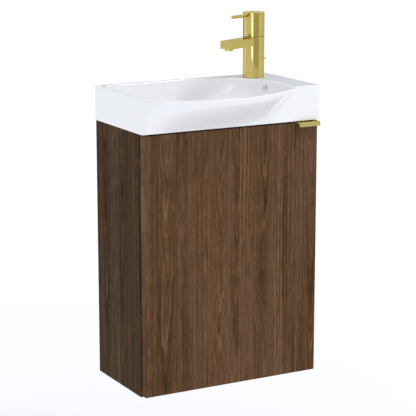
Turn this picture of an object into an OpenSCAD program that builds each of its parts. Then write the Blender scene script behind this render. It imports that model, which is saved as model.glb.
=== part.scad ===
// Wall-hung mini vanity unit: a one-door cabinet, a bow-front ceramic basin with its
// tap ledge on the right, a single-lever mixer, and the waste and trap under the bowl.
// Frame: X runs across the front, -Y is the front, +Z is up. The origin lies on the wall,
// halfway between the two wall bolts. Millimetres.

/* [Cabinet] */
// Width over the two side panels
cab_w = 400; // [390:1:460]
// Height of the side panels
cab_h = 537; // [500:1:640]
// Depth of the side panels, from the wall to their front edges
cab_d = 196; // [190:1:230]
// Thickness of the side panels, bottom, rails and shelf
panel_t = 16; // [15:1:19]
// Height from the wall bolts up to the top edge of the side panels
bolt_drop = 70; // [66:1:80]
// Space left behind the back panel for the wall rail
back_space = 20; // [18:1:24]
// Thickness of the back panel
back_t = 4; // [3:0.5:6]
// Height of the front and rear rails
rail_h = 60; // [50:1:66]
// Drop from the side panels' top edges to the front rail, clear of the bowl
rail_drop = 24; // [22:1:30]
// Height of the shelf above the bottom panel
shelf_up = 180; // [120:5:200]
// Distance from the shelf's front edge back from the side panels' front edges
shelf_setback = 18; // [10:1:40]
// Clearance at each end of the shelf
shelf_gap = 1; // [0.5:0.5:2]
// Diameter of a shelf pin
shelf_pin_d = 5; // [4:0.5:6]
// Width of the pipe cut-out in the back panel
cutout_w = 150; // [120:5:180]
// Height of the pipe cut-out in the back panel
cutout_h = 150; // [120:5:160]
// Diameter of a cam disc that locks a panel joint
cam_d = 12; // [10:1:15]
// Length of a cam bolt
cam_bolt_l = 34; // [30:1:38]

/* [Wall fixing] */
// Distance between the two wall bolts
bolt_spacing = 288; // [260:1:300]
// Diameter of the holes for the wall bolts
bolt_hole_d = 8; // [6:0.5:10]
// Thickness of the wall rail's steel
wall_rail_t = 2.5; // [2:0.5:3]
// Height of the wall rail
wall_rail_h = 40; // [36:1:44]
// How far the rail's upturned lip stands off the wall
rail_lip_out = 11; // [10:0.5:13]
// Width of a hanger's hook
hook_w = 12; // [10:1:16]
// Thickness of a hanger's steel
hanger_t = 3; // [2.5:0.5:4]
// Length of a hanger's plate along the side panel
hanger_l = 62; // [50:1:70]

/* [Door] */
// Thickness of the door
door_t = 16; // [16:1:19]
// Gap between the closed door and the side panels' front edges
door_gap = 2; // [2:0.5:3]
// How far the door's edge is set in from the cabinet's side
door_reveal = 2; // [1:0.5:3]
// How far the door's bottom edge lies above the cabinet's
door_raise = 3; // [2:0.5:6]
// Gap between the door's top edge and the basin
door_top_gap = 3.5; // [3:0.5:6]
// Distance from the door's upper and lower edges to the hinges
hinge_inset = 95; // [92:1:120]
// Distance from the door's top edge down to the upper clear pad
bumper_down = 60; // [50:1:90]
// Distance from the door's bottom edge up to the lower clear pad
bumper_up = 30; // [20:1:60]

/* [Edge pull] */
// Width of the pull
pull_w = 52; // [40:1:80]
// How far the pull's lip stands in front of the door
pull_out = 12.4; // [11:0.1:16]
// Height of the pull's lip
pull_lip_h = 9.2; // [7:0.1:14]
// Thickness of the pull's sheet
pull_t = 1.6; // [1.2:0.1:2]
// Height of the leg screwed to the back of the door
pull_leg_h = 24; // [20:1:32]

/* [Hinges] */
// Diameter of the hinge cup
cup_d = 35; // [35:1:35]
// Depth of the hinge cup
cup_depth = 11.5; // [11:0.1:12]
// Distance from the door's edge to the cup
cup_edge = 5; // [4.5:0.1:5.5]
// Thickness of the cup's steel
cup_wall = 1; // [0.8:0.1:1.2]
// Height of the cranked link
link_h = 8; // [7:0.5:9]
// Thickness of the cranked link
link_t = 3; // [2.5:0.1:3.2]
// Diameter of the pin in the cup
cup_pin_d = 2.5; // [2:0.1:3]
// Diameter of the pin in the arm
arm_pin_d = 3; // [2.5:0.1:3.5]
// Running clearance round a pin, on the radius
pin_clear = 0.05; // [0.02:0.01:0.08]
// Distance from the side panel's front edge to the plate's screws
plate_screw_in = 37; // [34:1:40]

/* [Basin] */
// Width of the basin
basin_w = 407; // [400:1:470]
// Height of the basin's apron
basin_h = 71; // [65:1:80]
// How far the basin's front stands forward of the closed door
basin_over_door = 3; // [2:0.5:6]
// How far the bowed rim stands in front of the basin's straight front
bow_out = 83; // [60:1:95]
// Width of the straight part of the front, beside the bow
bow_right_margin = 61; // [50:1:80]
// How much further the bow's foot stops short, at the basin's lower edge
bow_foot_in = 87; // [60:1:110]
// Distance of the bow's deepest point from the basin's left side
bow_peak_x = 155; // [120:1:180]
// Thickness of the rim
rim_t = 10; // [8:0.5:12]
// Radius on the basin's upper edges
rim_r = 3; // [2:0.5:4]
// Radius of the basin's upright corners
corner_r = 5; // [3:0.5:8]
// Depth of the bowl, from the rim to the waste
bowl_depth = 72; // [70:1:74]
// Thickness of the bowl's floor
bowl_floor_t = 13; // [11:1:15]
// Distance from the wall to the bowl's rear edge
bowl_back = 15; // [14:0.5:24]
// Distance from the basin's right side to the bowl
bowl_right = 58; // [50:1:70]
// Distance of the waste from the basin's left side
waste_from_left = 177; // [160:1:190]
// Distance of the waste from the wall
waste_from_wall = 130; // [122:1:136]
// Diameter of the waste hole
waste_hole_d = 46; // [45:0.5:47]
// Thickness of the tap ledge
ledge_t = 14; // [12:1:16]
// Diameter of the tap hole
tap_hole_d = 35; // [34:0.5:36]
// Distance of the tap from the basin's right side
tap_from_right = 61.5; // [58:0.5:66]
// Distance of the tap from the wall
tap_from_wall = 50; // [46:1:54]
// Diameter of the overflow hole
overflow_d = 12; // [8:1:14]
// Depth of the overflow hole below the rim
overflow_down = 16; // [14:1:20]
// Distance of the overflow hole from the wall
overflow_from_wall = 106; // [96:1:116]

/* [Mixer] */
// Diameter of the mixer's body
tap_d = 45; // [42:0.5:47]
// Height of the mixer above the ledge
tap_h = 136.5; // [125:0.5:150]
// Height of the seam between the body and the turning head
tap_seam = 86; // [80:0.5:92]
// Reach of the spout, from the body's axis to its tip
spout_reach = 100; // [90:1:115]
// Width of the spout
spout_w = 28.5; // [24:0.5:32]
// Height of the spout
spout_h = 16.5; // [14:0.5:20]
// Drop from the seam to the top of the spout
spout_drop = 1.5; // [1:0.5:4]
// Diameter of the aerator
aerator_d = 17.5; // [16:0.5:20]
// Height of the aerator that shows under the spout
aerator_h = 4; // [3:0.5:6]
// Distance from the spout's tip to the aerator
aerator_in = 10.5; // [10:0.5:14]
// Diameter of the lever pin
lever_d = 6.5; // [5.5:0.5:8]
// Reach of the lever pin from the body's axis
lever_reach = 77; // [65:1:90]
// Drop from the head's top to the lever pin
lever_drop = 5.2; // [5:0.1:8]
// Wall of the turning head
head_wall = 3.5; // [3:0.5:4.5]
// Gap under the turning head
head_gap = 0.6; // [0.5:0.1:1]
// Diameter of the cartridge
cartridge_d = 30; // [28:1:32]
// Thread diameter of the two water inlets
inlet_d = 9; // [8:0.5:10]
// Depth of the two water inlets
inlet_l = 12; // [10:1:14]
// Distance between the two water inlets
inlet_spacing = 15; // [14:0.5:16]
// Diameter of the fixing stud
stud_d = 6; // [5:1:8]

/* [Waste and trap] */
// Diameter of the waste flange in the bowl
flange_d = 63; // [60:1:66]
// Diameter of the plug
plug_d = 50; // [46:1:54]
// Height that the plug stands open
plug_lift = 8; // [6:0.5:10]
// Outer diameter of the waste's thread
waste_d = 41; // [40:0.5:42]
// Diameter of the pipes
pipe_d = 32; // [32:1:32]
// Wall of the pipes
pipe_wall = 1.8; // [1.5:0.1:2.2]
// Diameter of the trap's bottle
trap_d = 60; // [56:1:66]
// Height of the trap's bottle
trap_h = 92; // [84:1:100]
// Drop from the bowl's underside to the top of the trap
trap_drop = 82; // [78:1:100]
// Length of the outlet pipe's free end, which the drain in the wall takes
outlet_free_l = 40; // [30:1:60]
// Length of the waste's threaded tube below the basin
waste_tube_l = 36; // [30:1:44]

/* [Hidden] */

// Clearance of a fixed piece in its hole, on the radius
fit = 0.05;
// Overshoot of a cutting shape past the face that it opens
eps = 1;
// Facets of a round surface
round_fn = 48;

// Planes of the cabinet
side_x = cab_w / 2;
inner_x = side_x - panel_t;
top_z = bolt_drop;
bottom_z = top_z - cab_h;
floor_z = bottom_z + panel_t;
front_y = -cab_d;
back_y = -back_space - back_t;
shelf_z = floor_z + shelf_up;

// Planes of the door
door_x = side_x - door_reveal;
door_back_y = front_y - door_gap;
door_front_y = door_back_y - door_t;
door_z0 = bottom_z + door_raise;
door_z1 = top_z - door_top_gap;

// Upper rail at the front, lower rail at the back
front_rail_z = top_z - rail_drop - rail_h;

// A panel joint: distance of the disc from the side panel, depth of the disc, bolt diameter
cam_in = 24;
cam_depth = 12.5;
cam_bolt_d = 6;
cam_end_inset = 36;

// The groove that holds the back panel, and the shelf pins' places
groove_depth = 6;
pin_inset = 30;
pin_in = 9;
pin_out = 8;

// Basin: its faces, the waste and the tap
basin_x = basin_w / 2;
basin_z0 = top_z;
basin_z1 = top_z + basin_h;
basin_front_y = door_front_y - basin_over_door;
waste_x = -basin_x + waste_from_left;
waste_y = -waste_from_wall;
tap_x = basin_x - tap_from_right;
tap_y = -tap_from_wall;
bowl_floor_z = basin_z1 - bowl_depth;
boss_z = bowl_floor_z - bowl_floor_t;
// The spout points at the waste
spout_angle = atan2(tap_y - waste_y, tap_x - waste_x);

module box(lo, hi) {
    translate(lo) cube(hi - lo);
}

// A rod along X, Y or Z, from a point, with a length that may be negative
module rod_x(at, d, l) {
    translate(l < 0 ? at + [l, 0, 0] : at) rotate([0, 90, 0])
        cylinder(d = d, h = abs(l), $fn = round_fn);
}
module rod_y(at, d, l) {
    translate(l < 0 ? at : at + [0, l, 0]) rotate([90, 0, 0])
        cylinder(d = d, h = abs(l), $fn = round_fn);
}
module rod_z(at, d, l) {
    translate(l < 0 ? at + [0, 0, l] : at) cylinder(d = d, h = abs(l), $fn = round_fn);
}

// A countersunk screw along +Z, its head's top face at the origin, its point upwards. The
// same shape, grown, cuts its hole.
module wood_screw(d, l, head, grow = 0) {
    rotate_extrude($fn = round_fn) polygon([
        [0, grow > 0 ? -eps : 0], [head / 2 + grow, grow > 0 ? -eps : 0],
        [head / 2 + grow, 0.6 + grow], [d / 2 + grow, 2.2 + grow], [d / 2 + grow, l - 2 + grow],
        [0, l + grow]
    ]);
}

// Pieces that come in mirrored pairs are written for the right side
module left_side() {
    mirror([1, 0, 0]) children();
}

// Wall rail and hangers
rail_half = inner_x - 1.5;
rail_top_z = wall_rail_h / 2 + 2;
ledge_z = rail_top_z - 14;
lip_top_z = ledge_z + 11;
hook_tip_z = ledge_z + wall_rail_t + 1.5;
hanger_y0 = back_y - hanger_l;
hanger_z0 = -6;
hanger_z1 = 36;
hanger_screw_d = 4;
hanger_screw_l = 14;
hanger_head = 8;
hanger_screw_at = [[hanger_y0 + 10, hanger_z0 + 9], [hanger_y0 + 10, hanger_z1 - 9],
    [hanger_y0 + 46, (hanger_z0 + hanger_z1) / 2]];

module wall_rail() {
    color("silver") difference() {
        translate([-rail_half, 0, 0]) rotate([90, 0, 90]) linear_extrude(2 * rail_half)
            polygon([
                [0, rail_top_z - wall_rail_h], [-wall_rail_t, rail_top_z - wall_rail_h],
                [-wall_rail_t, ledge_z], [-rail_lip_out, ledge_z], [-rail_lip_out, lip_top_z],
                [wall_rail_t - rail_lip_out, lip_top_z],
                [wall_rail_t - rail_lip_out, ledge_z + wall_rail_t],
                [-wall_rail_t, ledge_z + wall_rail_t], [-wall_rail_t, rail_top_z],
                [0, rail_top_z]
            ]);
        for (s = [-1, 1])
            rod_y([s * bolt_spacing / 2, eps, 0], bolt_hole_d, -rail_lip_out - 2 * eps);
    }
}

module hanger() {
    color("gainsboro") difference() {
        union() {
            box([inner_x - hanger_t, hanger_y0, hanger_z0], [inner_x, back_y - 1, hanger_z1]);
            box([inner_x - hook_w, hanger_y0 + hanger_l / 2, lip_top_z],
                [inner_x, -wall_rail_t - 1, lip_top_z + hanger_t]);
            box([inner_x - hook_w, -wall_rail_t - 1 - hanger_t, hook_tip_z],
                [inner_x, -wall_rail_t - 1, lip_top_z + hanger_t]);
        }
        for (p = hanger_screw_at)
            rod_x([inner_x - hanger_t - eps, p[0], p[1]], hanger_screw_d + 2 * fit,
                hanger_t + 2 * eps);
    }
}
module hanger_right() { hanger(); }
module hanger_left() { left_side() hanger(); }

module hanger_screw_pair(grow) {
    for (m = [0, 1], p = hanger_screw_at)
        mirror([m, 0, 0]) {
            rod_x([inner_x - hanger_t - fit, p[0], p[1]], hanger_screw_d + 2 * grow,
                hanger_screw_l + grow);
            if (grow == 0)
                rod_x([inner_x - hanger_t - fit, p[0], p[1]], hanger_head, -2.2);
        }
}
module hanger_screws() {
    color("silver") hanger_screw_pair(0);
}

// Panel joints: [y, z, true if the disc stands upright in a rail]
cam_sites = [
    [front_y + cam_end_inset, bottom_z + panel_t / 2, 0],
    [-cam_end_inset, bottom_z + panel_t / 2, 0],
    [front_y + panel_t / 2, front_rail_z + rail_h / 2, 1],
    [back_y - panel_t / 2, floor_z + rail_h / 2, -1]
];
module cam_disc_solids(grow) {
    for (m = [0, 1], s = cam_sites)
        mirror([m, 0, 0]) translate([inner_x - cam_in, s[0], s[1]])
            if (s[2] == 0)
                rod_z([0, 0, -panel_t / 2 - (grow > 0 ? eps : 0)], cam_d + 2 * grow,
                    cam_depth + (grow > 0 ? eps : 0));
            else
                rod_y([0, s[2] * (panel_t / 2 + (grow > 0 ? eps : 0)), 0], cam_d + 2 * grow,
                    -s[2] * (cam_depth + (grow > 0 ? eps : 0)));
}
module cam_bolt_solids(grow) {
    for (m = [0, 1], s = cam_sites)
        mirror([m, 0, 0])
            rod_x([inner_x - cam_in + cam_d / 2 + (grow > 0 ? -eps : 0.3), s[0], s[1]],
                cam_bolt_d + 2 * grow, cam_bolt_l - cam_d / 2 + (grow > 0 ? eps + 0.4 : 0));
}
module cam_discs() { color("dimgray") cam_disc_solids(0); }
module cam_bolts() { color("silver") cam_bolt_solids(0); }

// Shelf pins, shared with the holes that they stand in
module shelf_pin_solids(grow) {
    for (m = [0, 1], y = [front_y + shelf_setback + pin_inset, back_y - pin_inset])
        mirror([m, 0, 0])
            rod_x([inner_x - (grow > 0 ? 0 : pin_out), y, shelf_z - shelf_pin_d / 2],
                shelf_pin_d + 2 * grow, (grow > 0 ? 0 : pin_out) + pin_in + grow);
}
module shelf_pins() { color("silver") shelf_pin_solids(0); }

// Side panels stand on their edge from the floor of the unit to the basin
module side() {
    box([inner_x, front_y, bottom_z], [side_x, 0, top_z]);
}
module side_cuts() {
    box([inner_x - eps, back_y - 0.1, floor_z - 0.1],
        [inner_x + groove_depth + 0.3, -back_space + 0.1, top_z + eps]);
    cam_bolt_solids(fit);
    shelf_pin_solids(fit);
    hanger_screw_pair(fit);
}
module side_right() {
    color("saddlebrown") difference() {
        side();
        side_cuts();
    }
}
module side_left() {
    color("saddlebrown") difference() {
        left_side() side();
        left_side() side_cuts();
        plate_screw_solids(fit);
    }
}

module bottom_panel() {
    color("saddlebrown") difference() {
        box([-inner_x, front_y, bottom_z], [inner_x, 0, floor_z]);
        cam_disc_solids(fit);
        cam_bolt_solids(fit);
    }
}
module front_rail() {
    color("saddlebrown") difference() {
        box([-inner_x, front_y, front_rail_z],
            [inner_x, front_y + panel_t, front_rail_z + rail_h]);
        cam_disc_solids(fit);
        cam_bolt_solids(fit);
    }
}
module rear_rail() {
    color("saddlebrown") difference() {
        box([-inner_x, back_y - panel_t, floor_z], [inner_x, back_y, floor_z + rail_h]);
        cam_disc_solids(fit);
        cam_bolt_solids(fit);
    }
}
module back_panel() {
    color("tan") difference() {
        box([-inner_x - groove_depth, back_y, floor_z],
            [inner_x + groove_depth, -back_space, top_z - rail_drop]);
        box([waste_x - cutout_w / 2, back_y - eps, outlet_z - cutout_h / 2],
            [waste_x + cutout_w / 2, -back_space + eps, outlet_z + cutout_h / 2]);
        for (m = [0, 1]) mirror([m, 0, 0])
            box([inner_x - hook_w - 3, back_y - eps, lip_top_z - 5],
                [inner_x + groove_depth + eps, -back_space + eps, lip_top_z + hanger_t + 5]);
    }
}
module shelf() {
    color("saddlebrown")
        box([-inner_x + shelf_gap, front_y + shelf_setback, shelf_z],
            [inner_x - shelf_gap, back_y - 0.5, shelf_z + panel_t]);
}

// The door hangs at its left edge on two cup hinges. In plan, the hinge is drawn from the
// outer front corner of the left side panel: x to the right, y into the cabinet.
hinge_z = [door_z1 - hinge_inset, door_z0 + hinge_inset];
cup_x = door_reveal + cup_edge + cup_d / 2;
cup_front_y = -door_gap - cup_depth;
cup_pin_at = [cup_x - 12.5, -door_gap - 5.5];
arm_pin_in = 21.6;
arm_pin_back = 2.84;
arm_pin_at = [panel_t + arm_pin_in, arm_pin_back];
elbow_at = cup_pin_at + [7, -2.3];
cup_bore_d = cup_d - 2 * cup_wall - 0.4;
cup_flange_t = 1.2;
cup_flange_x0 = -2;
cup_flange_x1 = 18;
cup_flange_l = 56;
cup_screw_z = 22.5;
cup_screw_dx = 9.5;
link_eye_r = 2.5;
arm_cheek_t = 2;
arm_half_h = link_h / 2 + 0.3 + arm_cheek_t;
arm_back_y = 64;
arm_block_y = 17;
arm_far_x = panel_t + 12;
plate_t = 3;
plate_screw_z = 16;
plate_screw_d = 3.5;
plate_screw_l = 13;
arm_screw_y = [30, 50];

module at_hinges() {
    for (z = hinge_z) translate([-side_x, front_y, z]) children();
}
module at_upper() { translate([-side_x, front_y, hinge_z[0]]) children(); }
module at_lower() { translate([-side_x, front_y, hinge_z[1]]) children(); }

module cup_screw_solids(grow) {
    for (s = [-1, 1])
        translate([cup_x + cup_screw_dx, -door_gap + cup_flange_t + 0.1, s * cup_screw_z])
            rotate([90, 0, 0]) wood_screw(plate_screw_d, 12, 6.4, grow);
}
module cup_screws() { color("silver") at_hinges() cup_screw_solids(0); }

module hinge_cup() {
    color("silver") difference() {
        union() {
            rod_y([cup_x, -door_gap + cup_flange_t, 0], cup_d - 0.2, -cup_depth - cup_flange_t);
            box([cup_x + cup_flange_x0, -door_gap, -cup_flange_l / 2],
                [cup_x + cup_flange_x1, -door_gap + cup_flange_t, cup_flange_l / 2]);
        }
        rod_y([cup_x, -door_gap + cup_flange_t + eps, 0], cup_bore_d,
            -cup_depth - cup_flange_t - eps + cup_wall);
        rod_z([cup_pin_at[0], cup_pin_at[1], -cup_d], cup_pin_d + 2 * fit, 2 * cup_d);
        cup_screw_solids(fit);
    }
}
module hinge_cup_upper() { at_upper() hinge_cup(); }
module hinge_cup_lower() { at_lower() hinge_cup(); }

// Half the length of the pin, so that its ends sit in the cup's wall
cup_pin_far = cup_x - cup_pin_at[0] + cup_pin_d / 2;
cup_pin_half = sqrt(pow(cup_d / 2 - 0.1, 2) - pow(cup_pin_far, 2)) - 0.1;
module cup_pins() {
    color("silver") at_hinges()
        rod_z([cup_pin_at[0], cup_pin_at[1], -cup_pin_half], cup_pin_d, 2 * cup_pin_half);
}

// A straight bar in plan between two points
module bar(a, b, w) {
    translate(a) rotate(atan2(b[1] - a[1], b[0] - a[0]))
        translate([0, -w / 2]) square([norm(b - a), w]);
}
module hinge_link() {
    color("lightgray") difference() {
        translate([0, 0, -link_h / 2]) linear_extrude(link_h) {
            bar(cup_pin_at, elbow_at, link_t);
            bar(elbow_at, arm_pin_at, link_t);
            translate(elbow_at) circle(d = link_t, $fn = round_fn);
            translate(cup_pin_at) circle(r = link_eye_r, $fn = round_fn);
            translate(arm_pin_at) circle(r = link_eye_r + 0.2, $fn = round_fn);
        }
        rod_z([cup_pin_at[0], cup_pin_at[1], -link_h], cup_pin_d + 2 * pin_clear, 2 * link_h);
        rod_z([arm_pin_at[0], arm_pin_at[1], -link_h], arm_pin_d + 2 * pin_clear, 2 * link_h);
    }
}
module hinge_link_upper() { at_upper() hinge_link(); }
module hinge_link_lower() { at_lower() hinge_link(); }

module hinge_arm() {
    color("silver") difference() {
        union() {
            for (s = [-1, 1])
                translate([0, 0, s * (arm_half_h - arm_cheek_t / 2) - arm_cheek_t / 2])
                    linear_extrude(arm_cheek_t) {
                        translate(arm_pin_at) circle(r = link_eye_r + 0.4, $fn = round_fn);
                        polygon([
                            [arm_pin_at[0] - 2.2, arm_pin_at[1] - 1.9],
                            [arm_pin_at[0] + 2.9, arm_pin_at[1]],
                            [arm_far_x, arm_block_y + 6], [panel_t + plate_t, arm_block_y + 6],
                            [panel_t + plate_t + 3, arm_block_y - 2]
                        ]);
                    }
            box([panel_t + plate_t, arm_block_y + 4, -arm_half_h],
                [arm_far_x, arm_back_y, arm_half_h]);
        }
        rod_z([arm_pin_at[0], arm_pin_at[1], -arm_half_h - eps], arm_pin_d + 2 * fit,
            2 * (arm_half_h + eps));
        for (y = arm_screw_y) rod_x([arm_far_x + eps, y, 0], 5 + 2 * fit, -2 * panel_t);
    }
}
module hinge_arm_upper() { at_upper() hinge_arm(); }
module hinge_arm_lower() { at_lower() hinge_arm(); }

module arm_pins() {
    color("silver") at_hinges()
        rod_z([arm_pin_at[0], arm_pin_at[1], -arm_half_h], arm_pin_d, 2 * arm_half_h);
}

module hinge_plate() {
    color("gainsboro") difference() {
        union() {
            box([panel_t, arm_block_y + 6, -arm_half_h], [panel_t + plate_t, arm_back_y - 3,
                arm_half_h]);
            box([panel_t, plate_screw_in - 7, -plate_screw_z - 6],
                [panel_t + plate_t - 1, plate_screw_in + 7, plate_screw_z + 6]);
        }
        for (s = [-1, 1])
            rod_x([panel_t - eps, plate_screw_in, s * plate_screw_z], plate_screw_d + 2 * fit,
                plate_t + 2 * eps);
        for (y = arm_screw_y) rod_x([panel_t + plate_t + eps, y, 0], 5 + 2 * fit, -2 * panel_t);
    }
}
module hinge_plate_upper() { at_upper() hinge_plate(); }
module hinge_plate_lower() { at_lower() hinge_plate(); }

// The plate's screws run into the side panel
module plate_screw_solids(grow) {
    at_hinges() for (s = [-1, 1])
        translate([panel_t + plate_t - 1 + fit, plate_screw_in, s * plate_screw_z]) {
            rod_x([0, 0, 0], plate_screw_d + 2 * grow, -plate_screw_l - grow);
            if (grow == 0) rod_x([0, 0, 0], 7, 2);
        }
}
module plate_screws() { color("silver") plate_screw_solids(0); }
module arm_screws() {
    color("silver") at_hinges() for (y = arm_screw_y) {
        rod_x([panel_t + 0.3, y, 0], 5, arm_far_x - panel_t);
        rod_x([arm_far_x + 0.05, y, 0], 8, 1.6);
    }
}

// The pull hooks over the door's top edge at its free end. Its left end is cut on a slant.
pull_x0 = door_x - pull_w;
pull_skew = 3.5;
pull_leg_x1 = inner_x - 3;
pull_front_y = door_front_y - pull_out;
pull_screw_at = [pull_x0 + 9, pull_leg_x1 - 9];
pull_screw_z = door_z1 - pull_leg_h / 2 - 2;
pull_screw_d = 3;

module pull_screw_solids(grow) {
    for (x = pull_screw_at)
        translate([x, door_back_y + pull_t + fit, pull_screw_z]) rotate([90, 0, 0])
            if (grow > 0) rod_z([0, 0, 0], pull_screw_d + 2 * grow, 13 + grow);
            else {
                rod_z([0, 0, pull_t * 0.5], pull_screw_d, 12);
                rod_z([0, 0, -0.3], 5.5, pull_t * 0.5 + 0.3);
            }
}
module pull_screws() { color("goldenrod") pull_screw_solids(0); }

module edge_pull() {
    color("goldenrod") difference() {
        union() {
            translate([0, 0, door_z1]) linear_extrude(pull_t) polygon([
                [pull_x0, pull_front_y], [door_x, pull_front_y], [door_x, door_back_y],
                [pull_leg_x1, door_back_y], [pull_leg_x1, door_back_y + pull_t],
                [pull_x0 - pull_skew, door_back_y + pull_t], [pull_x0 - pull_skew, door_front_y]
            ]);
            translate([0, pull_front_y + pull_t, 0]) rotate([90, 0, 0])
                linear_extrude(pull_t) polygon([
                    [pull_x0, door_z1 + pull_t], [door_x, door_z1 + pull_t],
                    [door_x, door_z1 + pull_t - pull_lip_h],
                    [pull_x0 + pull_skew, door_z1 + pull_t - pull_lip_h]
                ]);
            box([pull_x0 - pull_skew, door_back_y, door_z1 - pull_leg_h],
                [pull_leg_x1, door_back_y + pull_t, door_z1 + pull_t]);
        }
        for (x = pull_screw_at) {
            rod_y([x, door_back_y - eps, pull_screw_z], pull_screw_d + 2 * fit, pull_t + 2 * eps);
            rod_y([x, door_back_y + pull_t + eps, pull_screw_z], 5.5 + 2 * fit,
                -eps - pull_t * 0.5 - fit);
        }
    }
}

module door() {
    color("sienna") difference() {
        box([-door_x, door_front_y, door_z0], [door_x, door_back_y, door_z1]);
        at_hinges() rod_y([cup_x, -door_gap + eps, 0], cup_d, -cup_depth - 0.1 - eps);
        at_hinges() cup_screw_solids(fit);
        pull_screw_solids(fit);
    }
}

// Clear pads on the right side panel, where the closed door meets it
bumper_d = 8;
module door_bumpers() {
    color("whitesmoke") for (z = [door_z1 - bumper_down, door_z0 + bumper_up])
        rod_y([side_x - panel_t / 2, front_y, z], bumper_d, -door_gap + 0.3);
}

// Basin. Points are taken as [distance from the left side, distance from the wall].
bowl_wall_h = bowl_depth - rim_r;
drain_r = 34;
bowl_cx = 205.5;
bowl_cd = waste_from_wall + 24;
bowl_right_s = basin_w - bowl_right;
bowl_corner_r = 28;
plain_front = -basin_front_y;
bow_end = basin_w - bow_right_margin;
// Columns near the bowl's rear corner, in shares of its radius
corner_steps = [1.3, 0.9, 0.55, 0.25];

// Right end of the bow, share of its depth, and its outline, at the share t of the height
function bow_end_at(t) = bow_end - bow_foot_in * (1 - pow(t, 0.7));
function bow_share(t) = 1 - pow(1 - pow(t, 1.2), 1.5);
function bow_shape(s, x, e) = s <= x
    ? sqrt(max(0, 1 - pow((x - s) / x, 2)))
    : s >= e ? 0 : pow(1 - pow((s - x) / (e - x), 1.6), 1 / 1.6);

// The front's columns: the corner, the bow's left and right parts, the straight part
bow_n = 12;
bow_a0 = acos((bow_peak_x - corner_r) / bow_peak_x);
function front_s(e) = concat(
    [for (a = [0, 30, 60]) corner_r * (1 - cos(a))],
    [for (i = [0:bow_n - 1])
        bow_peak_x * (1 - cos(bow_a0 + (90 - bow_a0) * i / bow_n))],
    [for (i = [0:bow_n]) bow_peak_x + (e - bow_peak_x) * sin(90 * i / bow_n)],
    [for (i = [1:3]) e + (basin_w - corner_r - e) * i / 3],
    [for (a = [60, 30, 0]) basin_w - corner_r * (1 - cos(a))]
);
function corner_back(s) = let (c = min(s, basin_w - s))
    c >= corner_r ? 0 : corner_r - sqrt(max(0, corner_r * corner_r - pow(corner_r - c, 2)));
function apron(t) = let (e = bow_end_at(t), k = bow_out * bow_share(t)) concat(
    [for (s = front_s(e)) [s, plain_front - corner_back(s) + k * bow_shape(s, bow_peak_x, e)]],
    [for (i = [1:4]) [basin_w, (plain_front - corner_r) * (1 - i / 5) + corner_r * i / 5]],
    [for (a = [0, 30, 60, 90]) [basin_w - corner_r * (1 - cos(a)), corner_r * (1 - sin(a))]],
    [for (i = [1:6]) [basin_w - corner_r - (basin_w - 3 * bowl_corner_r) * i / 6, 0]],
    [for (k = corner_steps) [corner_r + k * bowl_corner_r, 0]],
    [for (a = [90, 60, 30, 0]) [corner_r * (1 - cos(a)), corner_r * (1 - sin(a))]],
    [for (i = [len(corner_steps) - 1:-1:0]) [0, corner_r + corner_steps[i] * bowl_corner_r]],
    [for (i = [1:4]) [0, 2 * bowl_corner_r + (plain_front - 2 * bowl_corner_r) * i / 5]]
);
// An outline moved inwards by w
function inset(p, w) = w == 0 ? p : [for (i = [0:len(p) - 1])
    let (d = p[(i + 1) % len(p)] - p[(i + len(p) - 1) % len(p)])
    p[i] + w * [d[1], -d[0]] / norm(d)];

// True if the point lies inside the bowl's outline below the rim
function in_bowl(s, d) =
    s > rim_t && d > bowl_back
    && (s > rim_t + bowl_corner_r || d > bowl_back + bowl_corner_r
        || norm([rim_t + bowl_corner_r - s, bowl_back + bowl_corner_r - d]) < bowl_corner_r)
    && (d > plain_front
        ? s < bow_end - rim_t && d < plain_front + (bow_out - rim_t)
            * bow_shape(s - rim_t, bow_peak_x - rim_t, bow_end - 2 * rim_t)
        : d > bowl_cd
        ? s < bowl_right_s - (bowl_right_s - bow_end + rim_t)
            * pow((d - bowl_cd) / (plain_front - bowl_cd), 1.5)
        : s < bowl_cx || pow((s - bowl_cx) / (bowl_right_s - bowl_cx), 2.2)
            + pow((bowl_cd - d) / (bowl_cd - bowl_back), 2.2) < 1);
function bowl_reach(u, lo, hi, n) = let (m = (lo + hi) / 2)
    n == 0 ? m : in_bowl(waste_from_left + m * u[0], waste_from_wall + m * u[1])
    ? bowl_reach(u, m, hi, n - 1) : bowl_reach(u, lo, m, n - 1);

basin_top = apron(1);
ring_n = len(basin_top);
ray = [for (p = basin_top) let (d = p - [waste_from_left, waste_from_wall]) d / norm(d)];
reach = [for (u = ray) bowl_reach(u, drain_r, basin_w, 18)];
// How upright the bowl's wall stands: a gentle slope under the bow, steep at the sides
steep = [for (u = ray)
    u[1] > 0 ? 1.2 + (u[0] < 0 ? 1.8 : 1.2) * pow(abs(u[0]), 6)
    : 2.2 + 0.8 * pow(u[0] < 0 ? 1 : -u[1], 2)];

function bowl_point(i, r) = [waste_from_left, waste_from_wall] + r * ray[i];
// A ring of the bowl: a is 0 at the floor and 90 under the rim
function bowl_ring(a, out, down) = [for (i = [0:ring_n - 1]) let (
        k = 2 / steep[i],
        q = bowl_point(i, drain_r + (reach[i] - drain_r) * pow(sin(a), k) + out * sin(a)))
    [q[0], q[1], bowl_floor_z + bowl_wall_h * (1 - pow(cos(a), k)) - down]];
function flat(p, z) = [for (q = p) [q[0], q[1], z]];
function rim_ring(w) = [for (i = [0:ring_n - 1]) bowl_point(i, reach[i] + w)];
// Height of the bowl's wall at its underside
bowl_under = 10;
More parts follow.
